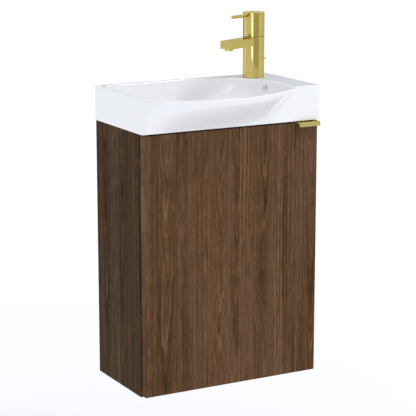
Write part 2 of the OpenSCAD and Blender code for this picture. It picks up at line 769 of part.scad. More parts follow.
// The underside of the bowl starts where it leaves the basin's lower edge
under_a = [for (n = steep)
    acos(pow(1 - (basin_z0 + bowl_under - bowl_floor_z) / bowl_wall_h, n / 2))];
function under_ring(f) = [for (i = [0:ring_n - 1]) let (
        a = under_a[i] * f,
        k = 2 / steep[i],
        q = bowl_point(i, drain_r + (reach[i] - drain_r) * pow(sin(a), k)
            + 2 * (steep[i] - 1.2) * sin(a)))
    [q[0], q[1], bowl_floor_z + bowl_wall_h * (1 - pow(cos(a), k)) - bowl_under]];

fillet_k = 1 - cos(45);
apron_t = [0.82, 0.68, 0.54, 0.4, 0.26, 0.12, 0.02];
basin_rings = concat(
    [for (a = [0, 14, 28, 42, 54, 65, 75, 84, 90]) bowl_ring(a, 0, 0)],
    [flat(rim_ring(rim_r * fillet_k), basin_z1 - rim_r * fillet_k)],
    [flat(rim_ring(rim_r), basin_z1)],
    [flat(inset(basin_top, rim_r), basin_z1)],
    [flat(inset(basin_top, rim_r * fillet_k), basin_z1 - rim_r * fillet_k)],
    [flat(apron(1 - rim_r / basin_h), basin_z1 - rim_r)],
    [for (t = apron_t) flat(apron(t), basin_z0 + basin_h * t)],
    [flat(inset(apron(0), 1.4), basin_z0)],
    [for (f = [1, 0.75, 0.5, 0.25, 0]) under_ring(f)],
    [[for (i = [0:ring_n - 1]) let (q = bowl_point(i, drain_r - 3)) [q[0], q[1], boss_z]]]
);
module basin_shell() {
    n = ring_n;
    m = len(basin_rings);
    verts = concat([for (r = basin_rings, p = r) p],
        [[waste_from_left, waste_from_wall, bowl_floor_z],
         [waste_from_left, waste_from_wall, boss_z]]);
    polyhedron(
        [for (p = verts) [p[0] - basin_x, -p[1], p[2]]],
        concat(
            [for (k = [0:m - 2], i = [0:n - 1]) [k * n + i, k * n + (i + 1) % n,
                (k + 1) * n + (i + 1) % n]],
            [for (k = [0:m - 2], i = [0:n - 1]) [k * n + i, (k + 1) * n + (i + 1) % n,
                (k + 1) * n + i]],
            [for (i = [0:n - 1]) [m * n, (i + 1) % n, i]],
            [for (i = [0:n - 1]) [m * n + 1, (m - 1) * n + i, (m - 1) * n + (i + 1) % n]]
        ), convexity = 8);
}

pocket_d = 42;
pocket_wall = 8.5;
overflow_in = 8;
overflow_at = bowl_cx + (bowl_right_s - bowl_cx)
    * pow(1 - pow((bowl_cd - overflow_from_wall) / (bowl_cd - bowl_back), 2.2), 1 / 2.2);
module basin() {
    color("white") difference() {
        basin_shell();
        rod_z([waste_x, waste_y, boss_z - eps], waste_hole_d, basin_z1 - boss_z);
        rod_z([tap_x, tap_y, basin_z0 - eps], tap_hole_d, basin_h + 2 * eps);
        // Hollow under the ledge
        rod_z([tap_x, tap_y, basin_z0 - eps], pocket_d, basin_h - ledge_t + eps);
        box([bowl_right_s + pocket_wall - basin_x, -plain_front + 23, basin_z0 - eps],
            [basin_x - pocket_wall, -rim_t - 4, basin_z1 - ledge_t]);
        // Overflow
        rod_x([overflow_at + overflow_in - basin_x, -overflow_from_wall,
            basin_z1 - overflow_down], overflow_d, -overflow_in - 26);
    }
}

// Mixer. Drawn from the ledge upwards, with the spout along +X, then turned to the waste.
module at_tap() {
    translate([tap_x, tap_y, basin_z1]) rotate(spout_angle + 180) children();
}
tap_r = tap_d / 2;
foot_gap = 0.25;
gasket_h = 1;
gasket_r = tap_r - 1;
gasket_bore = tap_hole_d / 2 + 0.3;
spout_z1 = tap_seam - spout_drop;
spout_z0 = spout_z1 - spout_h;
water_z = (spout_z0 + spout_z1) / 2;
water_d = 9;
seat_x = tap_r - 3.5;
seat_d = 12;
inlet_relief = 0.5;
nut_r = cartridge_d / 2 + 3;
nut_h = 8;
chamber_z = 44;
aerator_neck = 6;
aerator_fit = 0.1;
aerator_x = spout_reach - aerator_in;
stud_x = -12;
stud_up = 11;
stud_z = 40;
stud_angle = -27.6;
stud_pin_d = 4;
stud_out = 3;

module tap_gasket() {
    color("black") at_tap() difference() {
        rod_z([0, 0, 0], 2 * gasket_r, gasket_h);
        rod_z([0, 0, -eps], 2 * gasket_bore, gasket_h + 2 * eps);
    }
}

module tap_body() {
    color("gold") difference() {
        at_tap() difference() {
            rotate_extrude($fn = 96) polygon([
                [0, foot_gap], [tap_r - 0.4, foot_gap], [tap_r, foot_gap + 0.4],
                [tap_r, tap_seam - 0.4], [tap_r - 0.4, tap_seam], [0, tap_seam]
            ]);
            // Seat of the gasket
            difference() {
                rod_z([0, 0, 0], 2 * gasket_r + 0.2, gasket_h);
                rod_z([0, 0, -eps], 2 * gasket_bore - 0.2, gasket_h + 2 * eps);
            }
            // Chamber of the cartridge and thread of its nut
            rod_z([0, 0, chamber_z], cartridge_d + 0.2, tap_h);
            rod_z([0, 0, tap_seam - nut_h], 2 * nut_r + 0.2, tap_h);
            // Waterway to the spout, and the seat of the spout's spigot
            rod_x([nut_r - 6, 0, water_z - 1], water_d, seat_x - nut_r + 6 + eps);
            rod_x([seat_x, 0, water_z - 1], seat_d + 2 * fit, tap_r);
            // Inlets from below, with cored waterways a little wider than the threads
            for (s = [-1, 1]) {
                rod_z([0, s * inlet_spacing / 2, -eps], inlet_d, inlet_l + eps + foot_gap);
                rod_z([0, s * inlet_spacing / 2, inlet_l + foot_gap], inlet_d + 2 * inlet_relief,
                    chamber_z - inlet_l - foot_gap + eps);
            }
            rod_z([stud_x, 0, -eps], stud_d + 2 * fit, stud_up + eps + 0.1);
        }
        chain_stud_solid(fit);
    }
}

// The spout is brazed into the body's side by its spigot
module spout() {
    color("gold") at_tap() difference() {
        union() {
            difference() {
                box([0, -spout_w / 2, spout_z0], [spout_reach, spout_w / 2, spout_z1]);
                rod_z([0, 0, spout_z0 - eps], tap_d + 2 * fit, spout_h + 2 * eps);
            }
            rod_x([seat_x, 0, water_z - 1], seat_d, tap_r - seat_x + 1);
        }
        // Waterway, and seat of the aerator
        rod_x([seat_x - eps, 0, water_z - 1], water_d, aerator_x - seat_x + 2);
        rod_z([aerator_x, 0, spout_z0], water_d, water_z - 1 - spout_z0);
        rod_z([aerator_x, 0, spout_z0 - eps], aerator_d - 2.4 + 2 * aerator_fit,
            aerator_neck + eps + 0.1);
    }
}

module chain_stud_solid(grow) {
    translate([tap_x, tap_y, basin_z1 + stud_z]) rotate(stud_angle) {
        rod_x([tap_r - 5 - grow, 0, 0], stud_pin_d - 1.2 + 2 * grow, 5 + (grow > 0 ? eps : 0.2));
        if (grow == 0) {
            rod_x([tap_r + 0.1, 0, 0], stud_pin_d - 1.2, stud_out - 0.1);
            rod_x([tap_r + stud_out - 1.2, 0, 0], stud_pin_d, 1.2);
        }
    }
}
module chain_stud() { color("gold") chain_stud_solid(0); }

module aerator() {
    color("gold") at_tap() difference() {
        union() {
            rod_z([aerator_x, 0, spout_z0 - aerator_h], aerator_d, aerator_h);
            rod_z([aerator_x, 0, spout_z0], aerator_d - 2.4, aerator_neck);
        }
        rod_z([aerator_x, 0, spout_z0 - aerator_h - eps], aerator_d - 5, aerator_h);
        for (a = [0:60:300])
            rod_z([aerator_x + 3.6 * cos(a), 3.6 * sin(a), spout_z0 - aerator_h], 2,
                aerator_h + aerator_neck + eps);
    }
}

spigot_d = 10;
spigot_l = 14;
cartridge_z1 = tap_seam - 3;
module cartridge() {
    color("dimgray") at_tap() difference() {
        rod_z([0, 0, chamber_z], cartridge_d, cartridge_z1 - chamber_z);
        rod_z([0, 0, cartridge_z1 - spigot_l], spigot_d + 2 * pin_clear, spigot_l + eps);
        for (s = [-1, 1]) rod_z([0, s * inlet_spacing / 2, chamber_z - eps], 6, 12);
        rod_x([cartridge_d / 2 + eps, 0, water_z - 1], 9, -8);
    }
}
module cartridge_nut() {
    color("darkgoldenrod") at_tap() difference() {
        rod_z([0, 0, tap_seam - nut_h], 2 * nut_r, nut_h - 0.6);
        rod_z([0, 0, tap_seam - nut_h - eps], cartridge_d + 0.2, nut_h + 2 * eps - 4);
        rod_z([0, 0, tap_seam - nut_h - eps], 23, nut_h + 2 * eps);
    }
}

// The turret turns in the cartridge; the head tilts on the turret's pin
tilt_x = -13;
tilt_z = tap_seam + 9;
tilt_pin_d = 3;
lug_half = 5;
lug_r = 2.2;
tilt_pin_half = 16.8;
head_z0 = tap_seam + head_gap;
head_bore_r = tap_r - head_wall;
head_top = 10;
head_relief = 8.6;
head_tilt = 20;
lever_z = tap_h - lever_drop;
module turret() {
    color("gray") at_tap() difference() {
        union() {
            rod_z([0, 0, cartridge_z1 - spigot_l + 1], spigot_d, tap_seam - cartridge_z1
                + spigot_l);
            rod_z([0, 0, tap_seam + 0.3], 21, 6);
            box([tilt_x - lug_r, -lug_half, tap_seam + 1.6],
                [0, lug_half, tap_seam + 6]);
            box([tilt_x - lug_r, -lug_half, tap_seam + 1.6],
                [tilt_x + lug_r, lug_half, tilt_z + lug_r]);
        }
        rod_y([tilt_x, -2 * lug_half, tilt_z], tilt_pin_d + 2 * fit, 4 * lug_half);
    }
}
module tilt_pin() {
    color("silver") at_tap()
        rod_y([tilt_x, -tilt_pin_half, tilt_z], tilt_pin_d, 2 * tilt_pin_half);
}
module tap_head() {
    color("gold") at_tap() difference() {
        rotate_extrude($fn = 96) polygon([
            [0, tap_h - head_top], [head_bore_r, tap_h - head_top], [head_bore_r, head_z0],
            [tap_r - 0.4, head_z0], [tap_r, head_z0 + 0.4], [tap_r, tap_h - 0.5],
            [tap_r - 0.5, tap_h], [0, tap_h]
        ]);
        rod_y([tilt_x, -tilt_pin_half - 0.2, tilt_z], tilt_pin_d + 2 * pin_clear,
            2 * tilt_pin_half + 0.4);
        rod_x([6, 0, lever_z], lever_d + 2 * fit, tap_r);
        // Relief at the back, so that the head can tilt
        translate([tilt_x, -tap_r, tilt_z]) rotate([0, head_tilt, 0])
            translate([-2 * tap_r, 0, -head_relief - tap_r]) cube([2 * tap_r, tap_d, tap_r]);
    }
}
module lever_pin() {
    color("gold") at_tap() rod_x([6.1, 0, lever_z], lever_d, lever_reach - 6.1);
}

// Fixing from below the ledge
horseshoe_r = pocket_d / 2 - 2.5;
rubber_t = 3;
steel_t = 2;
stud_down = 50;
nut_af = 10;
nut_t = 6;
under_z = -ledge_t;
module fixing_stud() {
    color("silver") at_tap() rod_z([stud_x, 0, -stud_down], stud_d, stud_down + stud_up);
}
module horseshoe(z, t) {
    at_tap() difference() {
        rod_z([0, 0, z], 2 * horseshoe_r, t);
        rod_z([stud_x, 0, z - eps], stud_d + 0.6, t + 2 * eps);
        box([-inlet_d / 2 - 1, -inlet_spacing / 2 - inlet_d / 2 - 1, z - eps],
            [horseshoe_r + eps, inlet_spacing / 2 + inlet_d / 2 + 1, z + t + eps]);
    }
}
module rubber_horseshoe() { color("black") horseshoe(under_z - rubber_t, rubber_t); }
module steel_horseshoe() { color("silver") horseshoe(under_z - rubber_t - steel_t, steel_t); }
module stud_nut() {
    color("darkgoldenrod") at_tap() translate([stud_x, 0, under_z - rubber_t - steel_t - nut_t])
        difference() {
            cylinder(d = nut_af / cos(30), h = nut_t, $fn = 6);
            rod_z([0, 0, -eps], stud_d + 2 * fit, nut_t + 2 * eps);
        }
}

// Waste and trap, drawn about the waste's axis
module at_waste() {
    translate([waste_x, waste_y, 0]) children();
}
module ring_of(pts) {
    rotate_extrude($fn = 64) polygon(pts);
}
waste_r = waste_d / 2;
tube_wall = 3;
tube_r = waste_r - tube_wall;
flange_r = flange_d / 2;
tube_z0 = boss_z - waste_tube_l;
web_z = boss_z - 12;
stem_d = 10;
stem_down = 20;
cap_t = 3;
flange_top = bowl_floor_z + 2;
cap_z = flange_top + plug_lift;
washer_t = 4;
waste_nut_t = 12;
module waste_flange() {
    color("silver") at_waste() difference() {
        union() {
            ring_of([
                [tube_r, tube_z0], [waste_r, tube_z0], [waste_r, bowl_floor_z - 5],
                [waste_hole_d / 2 - 0.3, bowl_floor_z - 0.5], [waste_hole_d / 2 - 0.3, bowl_floor_z],
                [flange_r, bowl_floor_z], [flange_r, bowl_floor_z + 0.8],
                [flange_r - 3, flange_top], [flange_r - 7, flange_top],
                [waste_hole_d / 2 - 1, bowl_floor_z + 0.5], [tube_r, bowl_floor_z - 6]
            ]);
            intersection() {
                rod_z([0, 0, web_z - 8], 2 * tube_r + 1, 8);
                union() {
                    box([-waste_r, -2.5, web_z - 8], [waste_r, 2.5, web_z]);
                    rod_z([0, 0, web_z - 8], stem_d + 6, 8);
                }
            }
        }
        rod_z([0, 0, web_z - 8 - eps], stem_d + 2 * pin_clear, 8 + 2 * eps);
    }
}
module plug() {
    color("silver") at_waste() rotate_extrude($fn = 64) polygon([
        [0, web_z - stem_down], [stem_d / 2, web_z - stem_down], [stem_d / 2, cap_z],
        [plug_d / 2, cap_z], [plug_d / 2, cap_z + cap_t - 1], [plug_d / 2 - 3, cap_z + cap_t],
        [0, cap_z + cap_t]
    ]);
}
module plug_seal() {
    color("black") at_waste()
        ring_of([[stem_d / 2 + fit, cap_z - 2], [waste_hole_d / 2 - 2, cap_z - 2],
            [waste_hole_d / 2 - 1, cap_z], [stem_d / 2 + fit, cap_z]]);
}
module waste_washer() {
    color("black") at_waste() ring_of([[waste_r + fit, boss_z - washer_t],
        [waste_r + 9, boss_z - washer_t], [waste_r + 9, boss_z], [waste_r + fit, boss_z]]);
}
module waste_nut() {
    color("darkgoldenrod") at_waste() difference() {
        cylinder_at(boss_z - washer_t - waste_nut_t, 2 * waste_r + 16, waste_nut_t, 8);
        rod_z([0, 0, 0], waste_d + 2 * fit, boss_z);
    }
}
module cylinder_at(z, d, h, n) {
    translate([0, 0, z]) cylinder(d = d, h = h, $fn = n);
}

pipe_r = pipe_d / 2;
trap_r = trap_d / 2;
trap_wall = 2.5;
trap_z1 = boss_z - trap_drop;
trap_z0 = trap_z1 - trap_h;
outlet_z = trap_z1 - 25;
cup_top_z = trap_z0 + 19;
neck_r = pipe_r + 5;
neck_h = 14;
outlet_r = pipe_r + 2.5;
outlet_end = trap_r + 16;
slip = 0.1;
module tail_pipe() {
    color("silver") at_waste() ring_of([
        [pipe_r - pipe_wall, trap_z0 + 24], [pipe_r, trap_z0 + 24], [pipe_r, tube_z0 - 6],
        [waste_r, tube_z0 - 6], [waste_r, tube_z0], [tube_r - fit, tube_z0],
        [tube_r - fit, web_z - 9], [pipe_r - pipe_wall, web_z - 9]
    ]);
}
module trap_bottle() {
    color("silver") at_waste() difference() {
        union() {
            ring_of([
                [trap_r - trap_wall, cup_top_z], [trap_r, cup_top_z], [trap_r, trap_z1 - 2],
                [trap_r - 2, trap_z1], [neck_r, trap_z1], [neck_r, trap_z1 + neck_h],
                [pipe_r + slip, trap_z1 + neck_h], [pipe_r + slip, trap_z1 - 3],
                [trap_r - trap_wall, trap_z1 - 3]
            ]);
            difference() {
                rod_y([0, trap_r - 10, outlet_z], 2 * outlet_r, outlet_end - trap_r + 10);
                rod_z([0, 0, outlet_z - trap_r], 2 * trap_r - 2 * trap_wall, trap_d);
            }
        }
        rod_y([0, 0, outlet_z], pipe_d + 2 * slip, outlet_end + eps);
    }
}
module trap_nut() {
    color("silver") at_waste() ring_of([
        [neck_r + slip, trap_z1 + 2], [neck_r + 5, trap_z1 + 2], [neck_r + 5, trap_z1 + neck_h + 7],
        [pipe_r + slip, trap_z1 + neck_h + 7], [pipe_r + slip, trap_z1 + neck_h],
        [neck_r + slip, trap_z1 + neck_h]
    ]);
}
module trap_cup() {
    color("silver") at_waste() ring_of([
        [0, trap_z0], [trap_r - 2, trap_z0], [trap_r, trap_z0 + 2], [trap_r, cup_top_z],
        [trap_r - trap_wall - slip, cup_top_z], [trap_r - trap_wall - slip, cup_top_z + 9],
        [trap_r - 2 * trap_wall, cup_top_z + 9], [trap_r - 2 * trap_wall, trap_z0 + trap_wall],
        [0, trap_z0 + trap_wall]
    ]);
}
module outlet_nut() {
    color("silver") at_waste() translate([0, 0, outlet_z]) rotate([-90, 0, 0]) ring_of([
        [outlet_r + slip, outlet_end - 8], [outlet_r + 4.5, outlet_end - 8],
        [outlet_r + 4.5, outlet_end + 7], [pipe_r + slip, outlet_end + 7],
        [pipe_r + slip, outlet_end], [outlet_r + slip, outlet_end]
    ]);
}
// The pipe is drawn down a little where it slides in the trap
outlet_stop = 2;
outlet_neck = 0.5;
module outlet_pipe() {
    color("silver") difference() {
        union() {
            rod_y([waste_x, waste_y + outlet_end - 12, outlet_z], pipe_d - 2 * outlet_neck,
                -waste_y - outlet_end + 12 - outlet_stop);
            rod_y([waste_x, -outlet_stop - outlet_free_l, outlet_z], pipe_d, outlet_free_l);
        }
        rod_y([waste_x, waste_y, outlet_z], pipe_d - 2 * pipe_wall, -waste_y + eps);
    }
}

side_left();
side_right();
bottom_panel();
front_rail();
rear_rail();
back_panel();
shelf();
shelf_pins();
cam_discs();
cam_bolts();
wall_rail();
hanger_left();
hanger_right();
hanger_screws();
door();
edge_pull();
pull_screws();
door_bumpers();
hinge_cup_upper();
hinge_cup_lower();
cup_screws();
cup_pins();
hinge_link_upper();
hinge_link_lower();
hinge_arm_upper();
hinge_arm_lower();
arm_pins();
hinge_plate_upper();
hinge_plate_lower();
plate_screws();
arm_screws();
basin();
tap_gasket();
tap_body();
spout();
aerator();
chain_stud();
cartridge();
cartridge_nut();
turret();
tilt_pin();
tap_head();
lever_pin();
fixing_stud();
rubber_horseshoe();
steel_horseshoe();
stud_nut();
waste_flange();
plug();
plug_seal();
waste_washer();
waste_nut();
tail_pipe();
trap_nut();
trap_bottle();
trap_cup();
outlet_nut();
outlet_pipe();
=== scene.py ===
import math

import bmesh
import bpy
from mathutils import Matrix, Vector


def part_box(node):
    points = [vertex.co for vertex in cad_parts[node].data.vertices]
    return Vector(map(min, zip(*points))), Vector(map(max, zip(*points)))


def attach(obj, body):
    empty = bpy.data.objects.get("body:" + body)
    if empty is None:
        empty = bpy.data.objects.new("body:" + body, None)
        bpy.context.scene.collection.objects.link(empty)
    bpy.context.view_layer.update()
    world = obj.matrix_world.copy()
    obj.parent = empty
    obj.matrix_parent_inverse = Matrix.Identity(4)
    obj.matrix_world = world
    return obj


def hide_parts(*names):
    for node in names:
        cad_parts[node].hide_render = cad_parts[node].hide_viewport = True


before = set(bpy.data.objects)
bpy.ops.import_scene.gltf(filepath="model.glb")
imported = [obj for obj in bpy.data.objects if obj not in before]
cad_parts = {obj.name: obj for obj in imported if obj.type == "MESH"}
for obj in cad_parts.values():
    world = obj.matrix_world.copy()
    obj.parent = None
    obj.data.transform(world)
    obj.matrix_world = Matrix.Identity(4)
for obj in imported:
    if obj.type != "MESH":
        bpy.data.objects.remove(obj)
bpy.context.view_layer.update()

# Camera. It stands to the left of the front, a little above the mixer, and looks down
# at the unit through a long lens.
CAM_YAW, CAM_PITCH = math.radians(28.653), math.radians(12.445)
CAM_PLACE = (-1.5733, -2.9899, 0.6092)
CAM_LENS, CAM_SENSOR = 140.722, 36

eye = bpy.data.cameras.new("camera")
eye.lens, eye.sensor_width = CAM_LENS, CAM_SENSOR
eye.clip_start, eye.clip_end = 0.1, 60
camera = bpy.data.objects.new("camera", eye)
camera.location = CAM_PLACE
camera.rotation_euler = (math.pi / 2 - CAM_PITCH, 0, -CAM_YAW)
bpy.context.collection.objects.link(camera)
bpy.context.scene.camera = camera
bpy.context.scene.view_settings.view_transform = "Standard"


# Studio. White all round, a pale floor as far below the unit as it hangs in a bathroom, and
# one soft lamp high in front on the right. Cards that only glossy surfaces see stand about:
# tall ones give the polished mixer its bands, a low one behind greys the basin's flat top.
SKY_SEEN, SKY_LIGHT = 1.0, 0.79
LAMP_PLACE, LAMP_AIM = Vector((1.5, -1.5, 2.9)), Vector((0, -0.1, 0))
LAMP_SIZE, LAMP_WATTS = 0.5, 26
FLOOR_Z, FLOOR_HALF = -0.71, 8.0
# The floor's own glow near the unit and far from it, as (distance in metres, strength)
GLOW_NEAR, GLOW_FAR = (1.0, 0.28), (3.5, 0.41)


def linear(code):
    """An sRGB hex colour as linear RGBA."""
    parts = [int(code[i:i + 2], 16) / 255 for i in (1, 3, 5)]
    return [c / 12.92 if c <= 0.04045 else ((c + 0.055) / 1.055) ** 2.4 for c in parts] + [1]


def add(tree, kind, values=None, **settings):
    """Adds a shader node. values gives sockets, by name or number, a constant, an output to
    link, or a node, whose first output is linked."""
    made = tree.nodes.new("ShaderNode" + kind)
    for key, value in settings.items():
        setattr(made, key, value)
    for key, value in (values or {}).items():
        if isinstance(value, bpy.types.Node):
            value = value.outputs[0]
        if isinstance(value, bpy.types.NodeSocket):
            tree.links.new(value, made.inputs[key])
        else:
            made.inputs[key].default_value = value
    return made


def new_material(name):
    """An empty material, its node tree, and the socket that takes its surface."""
    made = bpy.data.materials.new(name)
    made.use_nodes = True
    made.node_tree.nodes.remove(made.node_tree.nodes["Principled BSDF"])
    return made, made.node_tree, made.node_tree.nodes["Material Output"].inputs["Surface"]


def mesh_piece(name, verts, faces, finish):
    """A new mesh object with one finish."""
    data = bpy.data.meshes.new(name)
    data.from_pydata([tuple(v) for v in verts], [], [tuple(f) for f in faces])
    data.update()
    data.materials.append(finish)
    made = bpy.data.objects.new(name, data)
    bpy.context.collection.objects.link(made)
    return made


# The eye and its mirrors see plain white, while the light on the unit is weaker and cooler
world = bpy.data.worlds.new("studio")
bpy.context.scene.world = world
world.use_nodes = True
sky = world.node_tree
rays = add(sky, "LightPath").outputs
seen = add(sky, "Math", {0: rays["Is Camera Ray"], 1: rays["Is Glossy Ray"]},
           operation="MAXIMUM")
seen = add(sky, "Math", {0: seen, 1: rays["Is Transmission Ray"]}, operation="MAXIMUM")
strength = add(sky, "MapRange", {"Value": seen, "To Min": SKY_LIGHT, "To Max": SKY_SEEN})
tint = add(sky, "Mix", {"Factor": seen, 6: linear("#fafcff"), 7: linear("#ffffff")},
           data_type="RGBA")
sky.links.new(tint.outputs[2], sky.nodes["Background"].inputs["Color"])
sky.links.new(strength.outputs[0], sky.nodes["Background"].inputs["Strength"])

bulb = bpy.data.lights.new("key_lamp", "AREA")
bulb.shape = "RECTANGLE"
bulb.size, bulb.size_y, bulb.energy = LAMP_SIZE, LAMP_SIZE, LAMP_WATTS
key_lamp = bpy.data.objects.new("key_lamp", bulb)
key_lamp.location = LAMP_PLACE
key_lamp.rotation_euler = (LAMP_AIM - LAMP_PLACE).to_track_quat("-Z", "Y").to_euler()
bpy.context.collection.objects.link(key_lamp)

# Pale floor paint, rolled on: even, matt and a touch cool. Its glow stands for the bounce of
# a bright room, and rises with the distance, so that the floor ends without an edge
floor_paint, tree, surface = new_material("pale_floor_paint")
matt = add(tree, "BsdfDiffuse", {"Color": linear("#ebecef")})
away = add(tree, "VectorMath", {0: add(tree, "TexCoord").outputs["Object"]},
           operation="LENGTH").outputs["Value"]
rise = add(tree, "MapRange", {"Value": away, "From Min": GLOW_NEAR[0], "From Max": GLOW_FAR[0],
                              "To Min": GLOW_NEAR[1], "To Max": GLOW_FAR[1]})
lift = add(tree, "Emission", {"Color": linear("#fafbff"), "Strength": rise})
lifted = add(tree, "AddShader", {0: matt, 1: lift})
tree.links.new(lifted.outputs[0], surface)
corners = [(x * FLOOR_HALF, y * FLOOR_HALF, FLOOR_Z)
           for x, y in ((-1, -1), (1, -1), (1, 1), (-1, 1))]
mesh_piece("floor", corners, [(0, 1, 2, 3)], floor_paint)

# The cards stand on arcs about the mixer. Each row gives a card's turns from the front, in
# degrees towards the right, the heights of its foot and top, its distance, and its glow
CARD_MIDDLE = (0.142, -0.05)
TALL = (-0.9, 1.3, 1.6)
CARDS = (
    ("bright_card", (-57, -49), *TALL, "#f2f6ff", 1.5),
    ("strip_card", (-49, -40), *TALL, "#e6eeff", 3.4),
    ("bright_card_right", (-40, -34), *TALL, "#f2f6ff", 1.5),
    ("dark_card", (-32, -12, 8, 27), *TALL, "#c0bda6", 1.0),
    ("left_card", (-118, -88, -57), *TALL, "#eaeaea", 1.0),
    ("right_card", (27, 60, 100), *TALL, "#eaeaea", 1.0),
    ("back_card", (118, 135, 155, 175, 195), 0.15, 0.255, 0.5, "#a9b0bd", 1.0))
for name, turns, foot, top, far, colour, glow in CARDS:
    finish, tree, surface = new_material(name)
    shine = add(tree, "Emission", {"Color": linear(colour), "Strength": glow})
    tree.links.new(shine.outputs[0], surface)
    points = [(CARD_MIDDLE[0] + far * math.sin(math.radians(turn)),
               CARD_MIDDLE[1] - far * math.cos(math.radians(turn)), z)
              for turn in turns for z in (foot, top)]
    faces = [(2 * i, 2 * i + 2, 2 * i + 3, 2 * i + 1) for i in range(len(turns) - 1)]
    card = mesh_piece(name, points, faces, finish)
    card.visible_camera = card.visible_diffuse = card.visible_shadow = False


# Cabinet boards. Particle board laminated with a walnut foil and butt-jointed with cams. The
# foil is printed as narrow planks: straight ones have fine streaks, figured ones the slim
# nested arches of a flat-sawn plank. Its matt lacquer is pressed in with the print.
PLANK_MM, PLANK_UNEVEN = 36, 0.7
# An arch 18 mm wide is about 95 mm long
ARCH_HALF_MM, ARCH_SLOPE = 9.0, 21
# How far the streaks wander from a straight line, and an arch's middle from its plank's
WANDER_MM, SWAY_MM = 6.0, 26.0
# Marks of the print: width and length in mm, detail, roughness, and a shift that keeps them
# apart. Walnut's pores are about 0.2 mm wide, and are drawn coarser so that they show at all
MARKS = {"sway": (60, 150, 2.5, 0.5, 0.3), "streak": (6.0, 1200, 2.0, 0.6, 2.1),
         "line": (2.8, 500, 1.0, 0.5, 6.4), "fine": (2.2, 40, 2.5, 0.65, 5.7),
         "patch": (10, 28, 2.0, 0.5, 9.9), "slow": (60, 420, 1.0, 0.5, 14.2),
         "pore": (0.9, 11, 1.0, 0.5, 2.2)}
# How much each of them, and each plank's own tone, lightens or darkens the wood
STREAK_TONE, FINE_TONE, PATCH_TONE, PLANK_TONE, LINE_TONE = 0.72, 1.25, 0.46, 0.26, 0.24
# Between which values of its pattern a line darkens or lightens the wood, a plank turns from
# straight to figured, a pore opens and a rosy patch begins, and how much the last two show
DARK_LINE, LIGHT_LINE = (0.57, 0.62), (0.38, 0.43)
FIGURED, PORES, ROSY = (0.56, 0.60), (0.58, 0.72), (0.42, 0.68)
PORE_SHARE, ROSY_SHARE = 0.40, 0.45
# A crisp line where two planks meet: its share of a plank, and its tone on dark and light ones
SEAM_WIDE, SEAM_TONE = 0.05, (-0.30, 0.42)
# Where the dark, middle and light shades stand on the scale of tone, and a pattern's usual span
SHADE_AT, SPAN = (0.05, 0.50, 0.95), (0.3, 0.7)
# How far apart in the pattern two planks lie, and how deep the pores are pressed
PLANK_SHIFT, PORE_DEEP = 17.3, -0.7
LACQUER_IOR, LACQUER_ROUGH = 1.46, (0.50, 0.62)
LACQUER_RELIEF_MM, LACQUER_BUMP = 0.15, 0.12
# The foil's tight wrap leaves the boards' edges rounded by little more than its thickness
FOIL_EDGE_MM, EDGE_SEGMENTS, EDGES_OVER, WELD_WITHIN = 0.6, 2, 40, 1e-6
# From the dark wood to the light wood, and the rosy patches. The sides' darker shades are
# painted shade: they stand in for the dimmer light on the sides than on the front
DOOR_SHADES = ("#452d17", "#5f4228", "#7c5e45", "#6f523f")
SIDE_SHADES_PAINTED_DARKER = ("#281808", "#44301b", "#6a5037", "#4c3724")


